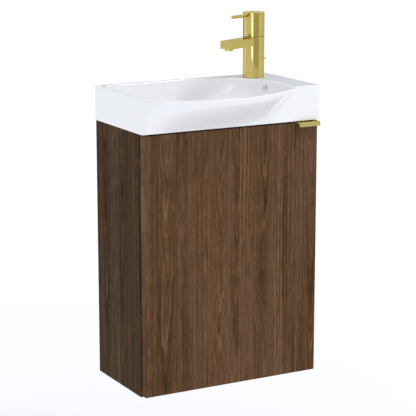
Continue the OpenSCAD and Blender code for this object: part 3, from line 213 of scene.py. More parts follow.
def walnut_foil(name, across, along, shades, seed, gloss=0.08):
    """Walnut foil on boards whose grain runs along one axis of the row. seed moves the run of
    planks, and gloss is the lacquer's shine in straight view."""
    made, tree, surface = new_material(name)
    axes = add(tree, "SeparateXYZ", {0: add(tree, "TexCoord").outputs["Object"]}).outputs
    side, length = (add(tree, "Math", {0: axes[axis], 1: 1000.0}, operation="MULTIPLY")
                    for axis in (across, along))

    # Planks of uneven width, each with a number, a tone and a middle of its own
    lane = add(tree, "Math", {0: side, 1: 1 / PLANK_MM, 2: seed}, operation="MULTIPLY_ADD")
    cell = add(tree, "TexVoronoi", {"W": lane, "Scale": 1.0, "Randomness": PLANK_UNEVEN},
               voronoi_dimensions="1D").outputs
    plank, tone, figure = add(tree, "SeparateColor", {0: cell["Color"]}).outputs[:3]
    edge = add(tree, "TexVoronoi", {"W": lane, "Scale": 1.0, "Randomness": PLANK_UNEVEN},
               voronoi_dimensions="1D", feature="DISTANCE_TO_EDGE").outputs["Distance"]

    def marks(kind, at):
        """Marks of one kind, lying at that place across the board and different on each
        plank."""
        width, long, detail, rough, shift = MARKS[kind]
        spot = add(tree, "CombineXYZ", {
            0: add(tree, "Math", {0: at, 1: 1 / width}, operation="MULTIPLY"),
            1: add(tree, "Math", {0: length, 1: 1 / long}, operation="MULTIPLY"),
            2: add(tree, "Math", {0: plank, 1: PLANK_SHIFT, 2: shift},
                   operation="MULTIPLY_ADD")})
        return add(tree, "TexNoise", {"Vector": spot, "Scale": 1.0, "Detail": detail,
                                      "Roughness": rough})

    # In a straight plank the streaks wander a little. In a figured one they follow nested
    # parabolas about a line that sways from side to side
    sway = add(tree, "Math", {0: marks("sway", side), 1: 0.5}, operation="SUBTRACT")
    straight = add(tree, "Math", {0: sway, 1: WANDER_MM, 2: side}, operation="MULTIPLY_ADD")
    middle = add(tree, "Math", {0: lane, 1: cell["W"]}, operation="SUBTRACT")
    middle = add(tree, "Math", {0: middle, 1: PLANK_MM}, operation="MULTIPLY")
    middle = add(tree, "Math", {0: sway, 1: SWAY_MM, 2: middle}, operation="MULTIPLY_ADD")
    square = add(tree, "Math", {0: middle, 1: middle}, operation="MULTIPLY")
    bowed = add(tree, "Math", {0: square, 1: 2 * ARCH_HALF_MM}, operation="DIVIDE")
    arch = add(tree, "Math", {0: length, 1: -1 / ARCH_SLOPE, 2: bowed},
               operation="MULTIPLY_ADD")
    apart = add(tree, "Math", {0: arch, 1: straight}, operation="SUBTRACT")
    figured = add(tree, "MapRange", {"Value": figure, "From Min": FIGURED[0],
                                     "From Max": FIGURED[1]})
    bent = add(tree, "Math", {0: apart, 1: figured, 2: straight}, operation="MULTIPLY_ADD")

    # Every mark moves the tone from the middle shade, which is 0.5
    fine = marks("fine", bent)
    shade = 0.5
    for mark, weight in ((marks("streak", bent), STREAK_TONE), (fine, FINE_TONE),
                         (marks("patch", side), PATCH_TONE), (tone, PLANK_TONE)):
        off = add(tree, "Math", {0: mark, 1: 0.5}, operation="SUBTRACT")
        shade = add(tree, "Math", {0: off, 1: weight, 2: shade}, operation="MULTIPLY_ADD")
    line = marks("line", bent)
    for (low, high), start, end in ((DARK_LINE, 0.0, -LINE_TONE), (LIGHT_LINE, LINE_TONE, 0.0)):
        drawn = add(tree, "MapRange", {"Value": line, "From Min": low, "From Max": high,
                                       "To Min": start, "To Max": end},
                    interpolation_type="SMOOTHSTEP")
        shade = add(tree, "Math", {0: shade, 1: drawn}, operation="ADD")
    near = add(tree, "MapRange", {"Value": edge, "From Max": SEAM_WIDE, "To Min": 1.0,
                                  "To Max": 0.0}, interpolation_type="SMOOTHSTEP")
    seam = add(tree, "MapRange", {"Value": tone, "From Min": SPAN[0], "From Max": SPAN[1],
                                  "To Min": SEAM_TONE[0], "To Max": SEAM_TONE[1]})
    shade = add(tree, "Math", {0: near, 1: seam, 2: shade}, operation="MULTIPLY_ADD")

    dark, middling, light, rosy = (linear(code) for code in shades)
    ramp = add(tree, "ValToRGB", {0: shade})
    stops = ramp.color_ramp.elements
    stops[0].position, stops[0].color = SHADE_AT[0], dark
    stops[1].position, stops[1].color = SHADE_AT[2], light
    stops.new(SHADE_AT[1]).color = middling
    blush = add(tree, "MapRange", {"Value": marks("slow", side), "From Min": ROSY[0],
                                   "From Max": ROSY[1], "To Max": ROSY_SHARE})
    warm = add(tree, "Mix", {"Factor": blush, 6: ramp, 7: rosy}, data_type="RGBA")
    pore = add(tree, "MapRange", {"Value": marks("pore", side), "From Min": PORES[0],
                                  "From Max": PORES[1]})
    filled = add(tree, "Math", {0: pore, 1: PORE_SHARE}, operation="MULTIPLY")
    wood = add(tree, "Mix", {"Factor": filled, 6: warm.outputs[2], 7: dark}, data_type="RGBA")

    relief = add(tree, "Math", {0: pore, 1: PORE_DEEP, 2: fine}, operation="MULTIPLY_ADD")
    bump = add(tree, "Bump", {"Strength": LACQUER_BUMP, "Distance": LACQUER_RELIEF_MM / 1000,
                              "Height": relief})
    rough = add(tree, "MapRange", {"Value": fine, "From Min": SPAN[0], "From Max": SPAN[1],
                                   "To Min": LACQUER_ROUGH[0], "To Max": LACQUER_ROUGH[1]})
    skin = add(tree, "BsdfPrincipled", {
        "Base Color": wood.outputs[2], "Roughness": rough, "Normal": bump, "IOR": LACQUER_IOR,
        "Specular IOR Level": gloss})
    tree.links.new(skin.outputs[0], surface)
    return made


def dress(names, finish, edge_mm=0.0):
    """Gives CAD nodes a finish, and rounds their edges by edge_mm."""
    for name in names:
        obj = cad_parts[name]
        if not obj.data.materials:
            obj.data.materials.append(finish)
        for held in obj.material_slots:
            held.material = finish
        if edge_mm:
            # The imported faces lie loose beside each other until the weld joins them
            obj.modifiers.new("join", "WELD").merge_threshold = WELD_WITHIN
            rounder = obj.modifiers.new("edge", "BEVEL")
            rounder.width, rounder.segments = edge_mm / 1000, EDGE_SEGMENTS
            rounder.limit_method, rounder.angle_limit = "ANGLE", math.radians(EDGES_OVER)
            rounder.harden_normals = True


# Walnut print under matt lacquer: a brown, streaky wood with hardly a shine. Each group of
# boards has its own run of planks
# The sides' darker walnut is painted shade, for the dimmer light that falls on them
dress(["side_left", "side_right"],
      walnut_foil("walnut_foil_laminated_sides_painted_shade", 1, 2, SIDE_SHADES_PAINTED_DARKER, 11.7, 0.04), FOIL_EDGE_MM)
dress(["bottom_panel", "shelf"],
      walnut_foil("walnut_foil_laminated_boards", 1, 0, DOOR_SHADES, 5.9), FOIL_EDGE_MM)
dress(["front_rail", "rear_rail"],
      walnut_foil("walnut_foil_laminated_rails", 2, 0, DOOR_SHADES, 8.1), FOIL_EDGE_MM)


# Back panel. Thin hardboard, pressed hot from brown wood fibre and slid into grooves in the
# boards. Its smooth side shows, with a cutout for the pipes.

# How far clouds and crystals darken a finish, how much duller some crystals are, and between
# which values of its pattern a fleck begins
CLOUD_DIM, CRYSTAL_DIM, CRYSTAL_DULL, FLECKED = 0.88, 0.72, 0.12, (0.56, 0.66)


def cloudy_finish(name, code, rough, metal=0.0, grain_mm=1.0, relief_mm=0.0, cloud_mm=22,
                  flecks=None, cells_mm=0, edge=None, uneven=0.05):
    """A finish with clouds of tone, and a fine grain in its gloss that relief_mm also raises.
    flecks are (colour, size in mm, share). cells_mm gives crystals, each with its own tone.
    edge is a metal's colour at a glancing angle. The real grain of these finishes is mostly
    0.05 to 0.3 mm, too fine to show, so it is drawn at about 1 mm or more."""
    made, tree, surface = new_material(name)
    place = add(tree, "TexCoord").outputs["Object"]
    grain = add(tree, "TexNoise", {"Vector": place, "Scale": 1000 / grain_mm, "Detail": 3.0,
                                   "Roughness": 0.6})
    cloud = add(tree, "TexNoise", {"Vector": place, "Scale": 1000 / cloud_mm, "Detail": 2.0})
    base = linear(code)
    dimmer, dimmest = ([c * share for c in base[:3]] + [1] for share in (CLOUD_DIM, CRYSTAL_DIM))
    tone = add(tree, "Mix", {"Factor": cloud, 6: dimmer, 7: base}, data_type="RGBA")
    gloss = add(tree, "MapRange", {"Value": grain, "To Min": max(0.02, rough - uneven),
                                   "To Max": rough + uneven})
    if flecks:
        spots = add(tree, "TexNoise", {"Vector": place, "Scale": 1000 / flecks[1],
                                       "Detail": 1.0})
        share = add(tree, "MapRange", {"Value": spots, "From Min": FLECKED[0],
                                       "From Max": FLECKED[1], "To Max": flecks[2]})
        tone = add(tree, "Mix", {"Factor": share, 6: tone.outputs[2], 7: linear(flecks[0])},
                   data_type="RGBA")
    if cells_mm:
        crystal = add(tree, "TexVoronoi", {"Vector": place, "Scale": 1000 / cells_mm})
        lit = add(tree, "SeparateColor", {0: crystal.outputs["Color"]})
        tone = add(tree, "Mix", {"Factor": lit, 6: tone.outputs[2], 7: dimmest},
                   data_type="RGBA")
        gloss = add(tree, "Math", {0: lit, 1: CRYSTAL_DULL, 2: gloss}, operation="MULTIPLY_ADD")
    values = {"Base Color": tone.outputs[2], "Roughness": gloss, "Metallic": metal}
    if edge:
        values["Specular Tint"] = linear(edge)
    if relief_mm:
        values["Normal"] = add(tree, "Bump", {"Strength": 0.5, "Distance": relief_mm / 1000,
                                              "Height": grain})
    tree.links.new(add(tree, "BsdfPrincipled", values).outputs[0], surface)
    return made


# Hot-pressed hardboard: a dull brown, with darker fibres lying in its skin
dress(["back_panel"], cloudy_finish("hardboard_hot_pressed", "#73593f", 0.62, grain_mm=1.4,
                                    relief_mm=0.08, flecks=("#4c3724", 2.2, 0.6)))


# Cams and shelf pins. Each joint of the boards is a cast disc that draws a steel bolt's head
# in. The shelf lies loose on four turned pins.

# Die-cast zinc: dull blue-grey, with the fine grit of the die
cast_zinc = cloudy_finish("zinc_die_cast", "#8b8f94", 0.46, 1.0, grain_mm=0.8, relief_mm=0.02)
# Zinc plate on steel: bright grey with a cool, faintly cloudy bloom
ZINC_GREY = "#b4b9c0"
zinc = cloudy_finish("steel_zinc_plated", ZINC_GREY, 0.30, 1.0, grain_mm=1.2,
                     relief_mm=0.006, cloud_mm=6, flecks=("#8f9cae", 3.0, 0.35))
dress(["cam_discs"], cast_zinc)
dress(["cam_bolts", "shelf_pins"], zinc)


# Wall rail and hangers. A pressed steel rail is screwed to the wall, and the cabinet hangs
# from it by two hooked brackets behind the rear rail. All are cut from galvanised sheet.

# Galvanised sheet: flat zinc crystals, each with a grey of its own
galvanised = cloudy_finish("steel_hot_dip_galvanised", "#b9bdc0", 0.36, 1.0,
                           relief_mm=0.008, cells_mm=7)
dress(["wall_rail", "hanger_left", "hanger_right"], galvanised)
dress(["hanger_screws"], zinc)


# Basin. One slip-cast shell of sanitary ceramic, glazed white all over. It rests on the
# cabinet's top edges. The bowl's front bows out past the cabinet, and its right end is a
# flat ledge, hollow below, for the mixer.

# Sizes are in mm. A place is (from the left side, from the wall), and a height is the row's
BASIN_LOW, BASIN_HIGH = ([1000 * c for c in corner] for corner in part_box("basin"))
BASIN_W = BASIN_HIGH[0] - BASIN_LOW[0]
BASIN_TOP, BOSS_Z = BASIN_HIGH[2], BASIN_LOW[2]
# The apron is the outer wall. Its straight front stands just proud of the door
APRON_H, APRON_PROUD = 71, 3
APRON_Z = BASIN_TOP - APRON_H
FRONT = APRON_PROUD - 1000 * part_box("door")[0][1]
# The bow's reach, its peak and its end at the rim, and how much sooner it ends at the foot
BOW_OUT, BOW_PEAK, BOW_END, BOW_FOOT_IN = 83, 155, BASIN_W - 61, 87
# The powers of its curves: how it runs out to the right, how its end wanders down the apron,
# and how its reach swells and rounds off on the way up
BOW_RUN_OUT, BOW_WANDER, BOW_SWELL, BOW_ROUND = 1.6, 0.7, 1.2, 1.5
# How far the bow's end melts into the straight front, at the rim and at the foot
FADE_RIM, FADE_FOOT, FADE_STEPS = 4, 30, 30
# The radius of its upright corners, the rim's thickness, and the radii of rim and foot
CORNER_R, RIM_T, RIM_R, FOOT_R = 5, 10, 3, 1.4
# A narrow flat beside each rounded edge, which keeps its shading crisp
FLAT = 0.6
# The bowl's back and right ends, the radius of its left back corner, its depth, and the
# middle of its waste
BOWL_BACK, BOWL_RIGHT, BOWL_CORNER_R, BOWL_DEEP = 15, BASIN_W - 58, 28, 72
WASTE = (177, 130)
# The bowl's right end turns about this place, a little squarer than an ellipse, and then
# bends in towards the bow's end
BOWL_TURN, BOWL_POWER, BOWL_BEND = (205.5, WASTE[1] + 24), 2.2, 1.5
FLOOR_R, BOWL_FLOOR, WALL_H = 34, BASIN_TOP - BOWL_DEEP, BOWL_DEEP - RIM_R
# The powers of the wall's curve. In front it is an open slope, at 1.2, and it steepens
# towards the ends. At the back it is steep, and nearly a corner at 3
OPEN, OPEN_TO_LEFT, OPEN_TO_RIGHT, OPEN_NARROW = 1.2, 1.8, 1.2, 6
STEEP, STEEP_TO_BACK, STEEP_NARROW = 2.2, 0.8, 2
# The shell's thickness under the bowl, its gain where the wall is steep, and the boss's ring
UNDER, UNDER_WIDER, BOSS_IN = 10, 2.0, 3
# The ledge's thickness, the mixer's place on it, and the holes. A round pocket in the hollow
# makes room for the mixer's nut
LEDGE_T, TAP_FROM_LEFT, TAP_FROM_WALL = 14, BASIN_W - 61.5, 50
WASTE_HOLE_R, TAP_HOLE_R, POCKET_R = 23, 17.5, 21
# The cores' lengths, and how far they run past the shell so that they cut it clean
WASTE_CORE, TAP_CORE, PAST_BOSS, PAST_FOOT = 40, 90, 1, 5
# The walls that the hollow leaves at its ends, in front and at the back
HOLLOW_WALL, HOLLOW_FRONT, HOLLOW_BACK = 8.5, 23, 14
# The overflow's radius and its lip's, where it starts and stops about the bowl's wall, and
# its place
OVERFLOW_R, OVERFLOW_LIP, OVERFLOW_IN, OVERFLOW_OUT = 6, 1.2, 8, 34
OVERFLOW_FROM_WALL, OVERFLOW_BELOW_RIM = 106, 16
# Edges that turn by more degrees than this stay crisp
CRISP_OVER = 32
# How many stretches the outline and the rings have, and how much closer the outline's points
# stand beside the bow's end
ARC_STEPS, BOW_STEPS, AFTER_BOW_STEPS, CROWDING = 6, 44, 16, 1.5
RIGHT_STEPS, BACK_STEPS, BACK_CORNER_STEPS, LEFT_STEPS = 20, 30, 24, 16
WALL_STEPS, UNDER_STEPS, APRON_STEPS, HALVINGS = 26, 8, 26, 24


def steps(first, last, count):
    """Evenly spaced values from first to last, both included."""
    return [first + (last - first) * i / count for i in range(count + 1)]


def bow_end_at(t):
    """Where the bow meets the straight front, at the share t of the apron's height."""
    return BOW_END - BOW_FOOT_IN * (1 - t ** BOW_WANDER)


def bow_share(t):
    """The share of its reach that the bow has at the share t of the apron's height."""
    return 1 - (1 - t ** BOW_SWELL) ** BOW_ROUND


def bow_shape(s, peak, end):
    """The bow's reach at s from the left side, where 1 is its peak. Its left half is a
    quarter of an ellipse, and its right half runs out more gently."""
    if s <= peak:
        return math.sqrt(max(0.0, 1 - ((peak - s) / peak) ** 2))
    if s >= end:
        return 0.0
    return (1 - ((s - peak) / (end - peak)) ** BOW_RUN_OUT) ** (1 / BOW_RUN_OUT)


def apron(t, inset=0.0):
    """The apron's outline at the share t of its height, moved in by inset."""
    t = max(0.0, min(1.0, t))
    end = bow_end_at(t)
    quarter = steps(0, math.pi / 2, ARC_STEPS)
    corner = [CORNER_R * (1 - math.cos(a)) for a in quarter[:-1]]
    start = math.acos((BOW_PEAK - CORNER_R) / BOW_PEAK)
    columns = (corner
               + [BOW_PEAK * (1 - math.cos(a)) for a in steps(start, math.pi / 2, BOW_STEPS)]
               + [BOW_PEAK + (end - BOW_PEAK) * math.sin(a)
                  for a in steps(0, math.pi / 2, BOW_STEPS)[1:]]
               + [end + (BASIN_W - CORNER_R - end) * k ** CROWDING
                  for k in steps(0, 1, AFTER_BOW_STEPS)[1:]]
               + [BASIN_W - c for c in reversed(corner)])
    points = []
    for s in columns:
        c = min(s, BASIN_W - s)
        back = 0 if c >= CORNER_R else CORNER_R - math.sqrt(
            max(0.0, CORNER_R ** 2 - (CORNER_R - c) ** 2))
        # The fade is the bow's mean over a stretch that grows towards its end
        past_peak = max(0, (s - BOW_PEAK) / (end - BOW_PEAK))
        fade = (FADE_FOOT + (FADE_RIM - FADE_FOOT) * t) * past_peak ** 2
        out = sum(bow_shape(s + fade * k, BOW_PEAK, end)
                  for k in steps(-1, 1, FADE_STEPS)) / (FADE_STEPS + 1)
        points.append((s, FRONT - back + BOW_OUT * bow_share(t) * out))
    # The points stand closer together about the bowl's left back corner
    near = 3 * BOWL_CORNER_R
    points += [(BASIN_W, d) for d in steps(FRONT - CORNER_R, CORNER_R, RIGHT_STEPS)[1:-1]]
    points += [(BASIN_W - CORNER_R * (1 - math.cos(a)), CORNER_R * (1 - math.sin(a)))
               for a in quarter]
    points += [(s, 0) for s in steps(BASIN_W - CORNER_R, near, BACK_STEPS)[1:]]
    points += [(s, 0) for s in steps(near, CORNER_R, BACK_CORNER_STEPS)[1:]]
    points += [(CORNER_R * (1 - math.sin(a)), CORNER_R * (1 - math.cos(a)))
               for a in quarter[1:]]
    points += [(0, d) for d in steps(CORNER_R, near, BACK_CORNER_STEPS)[1:]]
    points += [(0, d) for d in steps(near, FRONT - CORNER_R, LEFT_STEPS)[1:-1]]
    if not inset:
        return points
    moved = []
    for i, (s, d) in enumerate(points):
        ahead, behind = points[(i + 1) % len(points)], points[i - 1]
        run = (ahead[0] - behind[0], ahead[1] - behind[1])
        size = math.hypot(*run)
        moved.append((s + inset * run[1] / size, d - inset * run[0] / size))
    return moved


def in_bowl(s, d):
    """Whether a place lies inside the bowl's rim."""
    if s <= RIM_T or d <= BOWL_BACK:
        return False
    gap = (RIM_T + BOWL_CORNER_R - s, BOWL_BACK + BOWL_CORNER_R - d)
    if gap[0] > 0 and gap[1] > 0 and math.hypot(*gap) >= BOWL_CORNER_R:
        return False
    if d > FRONT:
        return s < BOW_END - RIM_T and d < FRONT + (BOW_OUT - RIM_T) * bow_shape(
            s - RIM_T, BOW_PEAK - RIM_T, BOW_END - 2 * RIM_T)
    if d > BOWL_TURN[1]:
        bend = ((d - BOWL_TURN[1]) / (FRONT - BOWL_TURN[1])) ** BOWL_BEND
        return s < BOWL_RIGHT - (BOWL_RIGHT - BOW_END + RIM_T) * bend
    if s < BOWL_TURN[0]:
        return True
    across = (s - BOWL_TURN[0]) / (BOWL_RIGHT - BOWL_TURN[0])
    back = (BOWL_TURN[1] - d) / (BOWL_TURN[1] - BOWL_BACK)
    return across ** BOWL_POWER + back ** BOWL_POWER < 1


# Every ring of the shell has one point on each spoke, a line from the waste to the outline
top_line = apron(1)
spokes, reach, steep = [], [], []
for s, d in top_line:
    run = (s - WASTE[0], d - WASTE[1])
    u = (run[0] / math.hypot(*run), run[1] / math.hypot(*run))
    low, high = FLOOR_R, BASIN_W
    for _ in range(HALVINGS):
        half = (low + high) / 2
        inside = in_bowl(WASTE[0] + half * u[0], WASTE[1] + half * u[1])
        low, high = (half, high) if inside else (low, half)
    spokes.append(u)
    reach.append(low)
    if u[1] > 0:
        gain = OPEN_TO_LEFT if u[0] < 0 else OPEN_TO_RIGHT
        steep.append(OPEN + gain * abs(u[0]) ** OPEN_NARROW)
    else:
        steep.append(STEEP + STEEP_TO_BACK * (1 if u[0] < 0 else -u[1]) ** STEEP_NARROW)


def waste_ring(radii, heights):
    """A ring of points at the given distances from the waste."""
    return [(WASTE[0] + r * u[0], WASTE[1] + r * u[1], z)
            for r, z, u in zip(radii, heights, spokes)]


def bowl_ring(share, drop=0.0, wider=0.0, tops=None):
    """A ring of the bowl's wall, from its floor at 0 to its upright top at 1. tops gives
    the angle on each spoke where the wall ends before that."""
    radii, heights = [], []
    for i, n in enumerate(steep):
        a = math.radians(90 * share) if tops is None else tops[i] * share
        radii.append(FLOOR_R + (reach[i] - FLOOR_R) * math.sin(a) ** (2 / n)
                     + wider * (n - OPEN) * math.sin(a))
        heights.append(BOWL_FLOOR + WALL_H * (1 - math.cos(a) ** (2 / n)) - drop)
    return waste_ring(radii, heights)


def level(points, z):
    """The outline's points at one height."""
    return [(s, d, z) for s, d in points]


# The rings run from the bowl's floor up to the rim, over it, down the apron and round its
# foot, and then back inwards under the bowl to the boss
arc = steps(0, math.pi / 2, ARC_STEPS)
rings = [bowl_ring(share) for share in steps(0, 1, WALL_STEPS)[:-1]]
rings += [waste_ring([r + RIM_R * (1 - math.cos(a)) for r in reach],
                     [BASIN_TOP - RIM_R * (1 - math.sin(a))] * len(reach)) for a in arc]
rings += [waste_ring([r + RIM_R + FLAT for r in reach], [BASIN_TOP] * len(reach))]
rings += [level(apron(1, RIM_R + FLAT), BASIN_TOP)]
for a in reversed(arc):
    down = RIM_R * (1 - math.sin(a))
    rings.append(level(apron(1 - down / APRON_H, RIM_R * (1 - math.cos(a))),
                       BASIN_TOP - down))
for t in steps(1 - RIM_R / APRON_H, FOOT_R / APRON_H, APRON_STEPS)[1:]:
    rings.append(level(apron(t), APRON_Z + APRON_H * t))
for a in arc[1:]:
    up = FOOT_R * (1 - math.sin(a))
    rings.append(level(apron(up / APRON_H, FOOT_R * (1 - math.cos(a))), APRON_Z + up))
rings.append(level(apron(0, FOOT_R + FLAT), APRON_Z))
under_tops = [math.acos((1 - (APRON_Z + UNDER - BOWL_FLOOR) / WALL_H) ** (n / 2))
              for n in steep]
rings += [bowl_ring(share, UNDER, UNDER_WIDER, under_tops)
          for share in steps(1, 0, UNDER_STEPS)]
rings.append(waste_ring([FLOOR_R - BOSS_IN] * len(reach), [BOSS_Z] * len(reach)))

count = len(top_line)
verts = [p for ring in rings for p in ring]
verts += [(*WASTE, BOWL_FLOOR), (*WASTE, BOSS_Z)]
faces = [(k * count + i, k * count + (i + 1) % count, (k + 1) * count + (i + 1) % count,
          (k + 1) * count + i) for k in range(len(rings) - 1) for i in range(count)]
faces += [(len(verts) - 2, (i + 1) % count, i) for i in range(count)]
last = (len(rings) - 1) * count
faces += [(len(verts) - 1, last + i, last + (i + 1) % count) for i in range(count)]
verts = [((s + BASIN_LOW[0]) / 1000, -d / 1000, z / 1000) for s, d, z in verts]

# Gloss-fired glaze: a glassy white skin, flat to the eye, with a faint ripple in its mirror
# where it ran, and pools of a slightly different gloss
RIPPLE_MM, RIPPLE_DEEP_MM, POOL_MM = 14, 0.1, 70
GLAZE_IOR, GLAZE_ROUGH = 1.5, (0.05, 0.09)
glaze, tree, surface = new_material("ceramic_gloss_glazed")
spot = add(tree, "TexCoord").outputs["Object"]
ripple = add(tree, "TexNoise", {"Vector": spot, "Scale": 1000 / RIPPLE_MM, "Detail": 1.0})
pool = add(tree, "TexNoise", {"Vector": spot, "Scale": 1000 / POOL_MM, "Detail": 2.0})
tint = add(tree, "Mix", {"Factor": pool, 6: linear("#f7f8fa"), 7: linear("#f9f9fb")},
           data_type="RGBA")
bump = add(tree, "Bump", {"Strength": 0.25, "Distance": RIPPLE_DEEP_MM / 1000,
                          "Height": ripple})
sheen = add(tree, "MapRange", {"Value": pool, "To Min": GLAZE_ROUGH[0],
                               "To Max": GLAZE_ROUGH[1]})
skin = add(tree, "BsdfPrincipled", {"Base Color": tint.outputs[2], "IOR": GLAZE_IOR,
                                    "Roughness": sheen, "Normal": bump})
tree.links.new(skin.outputs[0], surface)

basin = mesh_piece("basin_shell", verts, faces, glaze)


def turned(name, profile, place, finish, axis=(0, 0, 1)):
    """A round core of any profile, given as (radius, along) in mm from axis to axis."""
    sides = 64
    upright = Vector(axis).to_track_quat("Z", "Y").to_matrix()
    points, skin_faces = [], []
    inner = profile[1:-1]
    for r, z in inner:
        points += [(r * math.cos(a), r * math.sin(a), z)
                   for a in steps(0, 2 * math.pi, sides)[:-1]]
    for k in range(len(inner) - 1):
        skin_faces += [(k * sides + i, k * sides + (i + 1) % sides,
                        (k + 1) * sides + (i + 1) % sides, (k + 1) * sides + i)
                       for i in range(sides)]
    points += [(0, 0, profile[0][1]), (0, 0, profile[-1][1])]
    skin_faces += [(len(points) - 2, (i + 1) % sides, i) for i in range(sides)]
    top = (len(inner) - 1) * sides
    skin_faces += [(len(points) - 1, top + i, top + (i + 1) % sides) for i in range(sides)]
    points = [(upright @ Vector(p) + Vector(place)) / 1000 for p in points]
    return mesh_piece(name, points, skin_faces, finish)


def core(name, radius, length, place, finish):
    """A plain round core that leaves an upright hole, in mm."""
    return turned(name, [(0, 0), (radius, 0), (radius, length), (0, length)], place, finish)


def block(name, low, high, finish):
    """A square core between two corners, in mm."""
    points = [(x / 1000, y / 1000, z / 1000) for x in (low[0], high[0])
              for y in (low[1], high[1]) for z in (low[2], high[2])]
    return mesh_piece(name, points, [(0, 1, 3, 2), (4, 6, 7, 5), (0, 4, 5, 1), (2, 3, 7, 6),
                                     (0, 2, 6, 4), (1, 5, 7, 3)], finish)


def carve(obj, cores):
    """Cuts the cores out of the object, and leaves only the finished mesh."""
    for cutter in cores:
        cut = obj.modifiers.new(cutter.name, "BOOLEAN")
        cut.operation, cut.solver, cut.object = "DIFFERENCE", "EXACT", cutter
    bpy.context.view_layer.update()
    done = bpy.data.meshes.new_from_object(obj.evaluated_get(
        bpy.context.evaluated_depsgraph_get()))
    obj.modifiers.clear()
    obj.data = done
    work = bmesh.new()
    work.from_mesh(done)
    bmesh.ops.dissolve_degenerate(work, dist=1e-6, edges=work.edges)
    work.to_mesh(done)
    work.free()
    for cutter in cores:
        bpy.data.objects.remove(cutter)


def soften(obj, angle):
    """Smooth shading, with the edges sharper than the angle kept crisp."""
    work = bmesh.new()
    work.from_mesh(obj.data)
    for face in work.faces:
        face.smooth = True
    for edge in work.edges:
        edge.smooth = (len(edge.link_faces) == 2
                       and edge.calc_face_angle(0) < math.radians(angle))
    work.to_mesh(obj.data)
    work.free()


# The overflow opens in the bowl's right wall, with a rounded lip
overflow_back = (BOWL_TURN[1] - OVERFLOW_FROM_WALL) / (BOWL_TURN[1] - BOWL_BACK)
overflow_x = BASIN_LOW[0] + BOWL_TURN[0] + (BOWL_RIGHT - BOWL_TURN[0]) * (
    1 - overflow_back ** BOWL_POWER) ** (1 / BOWL_POWER)
overflow_at = (overflow_x + OVERFLOW_IN, -OVERFLOW_FROM_WALL, BASIN_TOP - OVERFLOW_BELOW_RIM)
lip = [(OVERFLOW_R + OVERFLOW_LIP * (1 - math.sin(a)),
        OVERFLOW_IN - OVERFLOW_LIP + OVERFLOW_LIP * math.cos(a)) for a in reversed(arc)]
waste_at = (BASIN_LOW[0] + WASTE[0], -WASTE[1])
tap_at = (BASIN_LOW[0] + TAP_FROM_LEFT, -TAP_FROM_WALL)
carve(basin, [
    core("waste_hole", WASTE_HOLE_R, WASTE_CORE, (*waste_at, BOSS_Z - PAST_BOSS), glaze),
    core("tap_hole", TAP_HOLE_R, TAP_CORE, (*tap_at, APRON_Z - PAST_FOOT), glaze),
    core("pocket", POCKET_R, APRON_H - LEDGE_T + PAST_FOOT,
         (*tap_at, APRON_Z - PAST_FOOT), glaze),
    block("hollow", (BASIN_LOW[0] + BOWL_RIGHT + HOLLOW_WALL, HOLLOW_FRONT - FRONT,
                     APRON_Z - PAST_FOOT),
          (BASIN_HIGH[0] - HOLLOW_WALL, -HOLLOW_BACK, BASIN_TOP - LEDGE_T), glaze),
    turned("overflow", [(0, 0), (OVERFLOW_R, 0), *lip,
                        (OVERFLOW_R + OVERFLOW_LIP, OVERFLOW_OUT), (0, OVERFLOW_OUT)],
           overflow_at, glaze, axis=(-1, 0, 0))])
soften(basin, CRISP_OVER)
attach(basin, "cabinet")
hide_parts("basin")


# Waste and trap. Brass pressings and turnings under chrome: the flanged waste is clamped to
# the basin's boss by a nut on its thread, and a bottle trap hangs from its tail pipe.

# Bare brass, and how turned metal's roughness and faint clouds of tarnish run
BRASS = "#b4924f"
TURNED_ROUGH, TARNISH_MM, TARNISH_DIM = (0.25, 0.38), 50 / 3, 0.86


def ringed_finish(name, code, centre, pitch_mm, depth_mm):
    """A turned metal with rings about an upright axis through the centre, in metres. They
    stand for tool marks or, at a thread's pitch, for the thread itself."""
    made, tree, surface = new_material(name)
    place = add(tree, "TexCoord").outputs["Object"]
    parts = add(tree, "SeparateXYZ", {
        0: add(tree, "VectorMath", {0: place, 1: centre}, operation="SUBTRACT")}).outputs
    far = add(tree, "VectorMath", {0: add(tree, "CombineXYZ", {0: parts[0], 1: parts[1]})},
              operation="LENGTH").outputs["Value"]
    run = add(tree, "Math", {0: far, 1: parts[2]}, operation="ADD")
    turn = add(tree, "Math", {0: run, 1: 2 * math.pi * 1000 / pitch_mm}, operation="MULTIPLY")
    wave = add(tree, "Math", {0: turn}, operation="SINE")
    tarnish = add(tree, "TexNoise", {"Vector": place, "Scale": 1000 / TARNISH_MM,
                                     "Detail": 2.0})
    base = linear(code)
    dimmer = [c * TARNISH_DIM for c in base[:3]] + [1]
    tone = add(tree, "Mix", {"Factor": tarnish, 6: dimmer, 7: base}, data_type="RGBA")
    gloss = add(tree, "MapRange", {"Value": tarnish, "To Min": TURNED_ROUGH[0],
                                   "To Max": TURNED_ROUGH[1]})
    bump = add(tree, "Bump", {"Strength": 0.6, "Distance": depth_mm / 1000, "Height": wave})
    skin = add(tree, "BsdfPrincipled", {"Base Color": tone.outputs[2], "Roughness": gloss,
                                        "Metallic": 1.0, "Normal": bump})
    tree.links.new(skin.outputs[0], surface)
    return made


# Chrome over polished brass: a cold clear mirror, with the faintest orange peel
chrome = cloudy_finish("brass_chrome_plated", "#d3d6da", 0.06, 1.0, grain_mm=3.0,
                       relief_mm=0.002, uneven=0.02)
# Moulded black rubber: matt, with a pale bloom on it
rubber = cloudy_finish("rubber_compression_moulded", "#17181a", 0.68, grain_mm=0.7,
                       relief_mm=0.02, flecks=("#2c2e31", 2.5, 0.7))
dress(["waste_flange", "plug", "tail_pipe", "trap_nut", "trap_bottle", "trap_cup",
       "outlet_nut", "outlet_pipe"], chrome)
dress(["plug_seal", "waste_washer"], rubber)
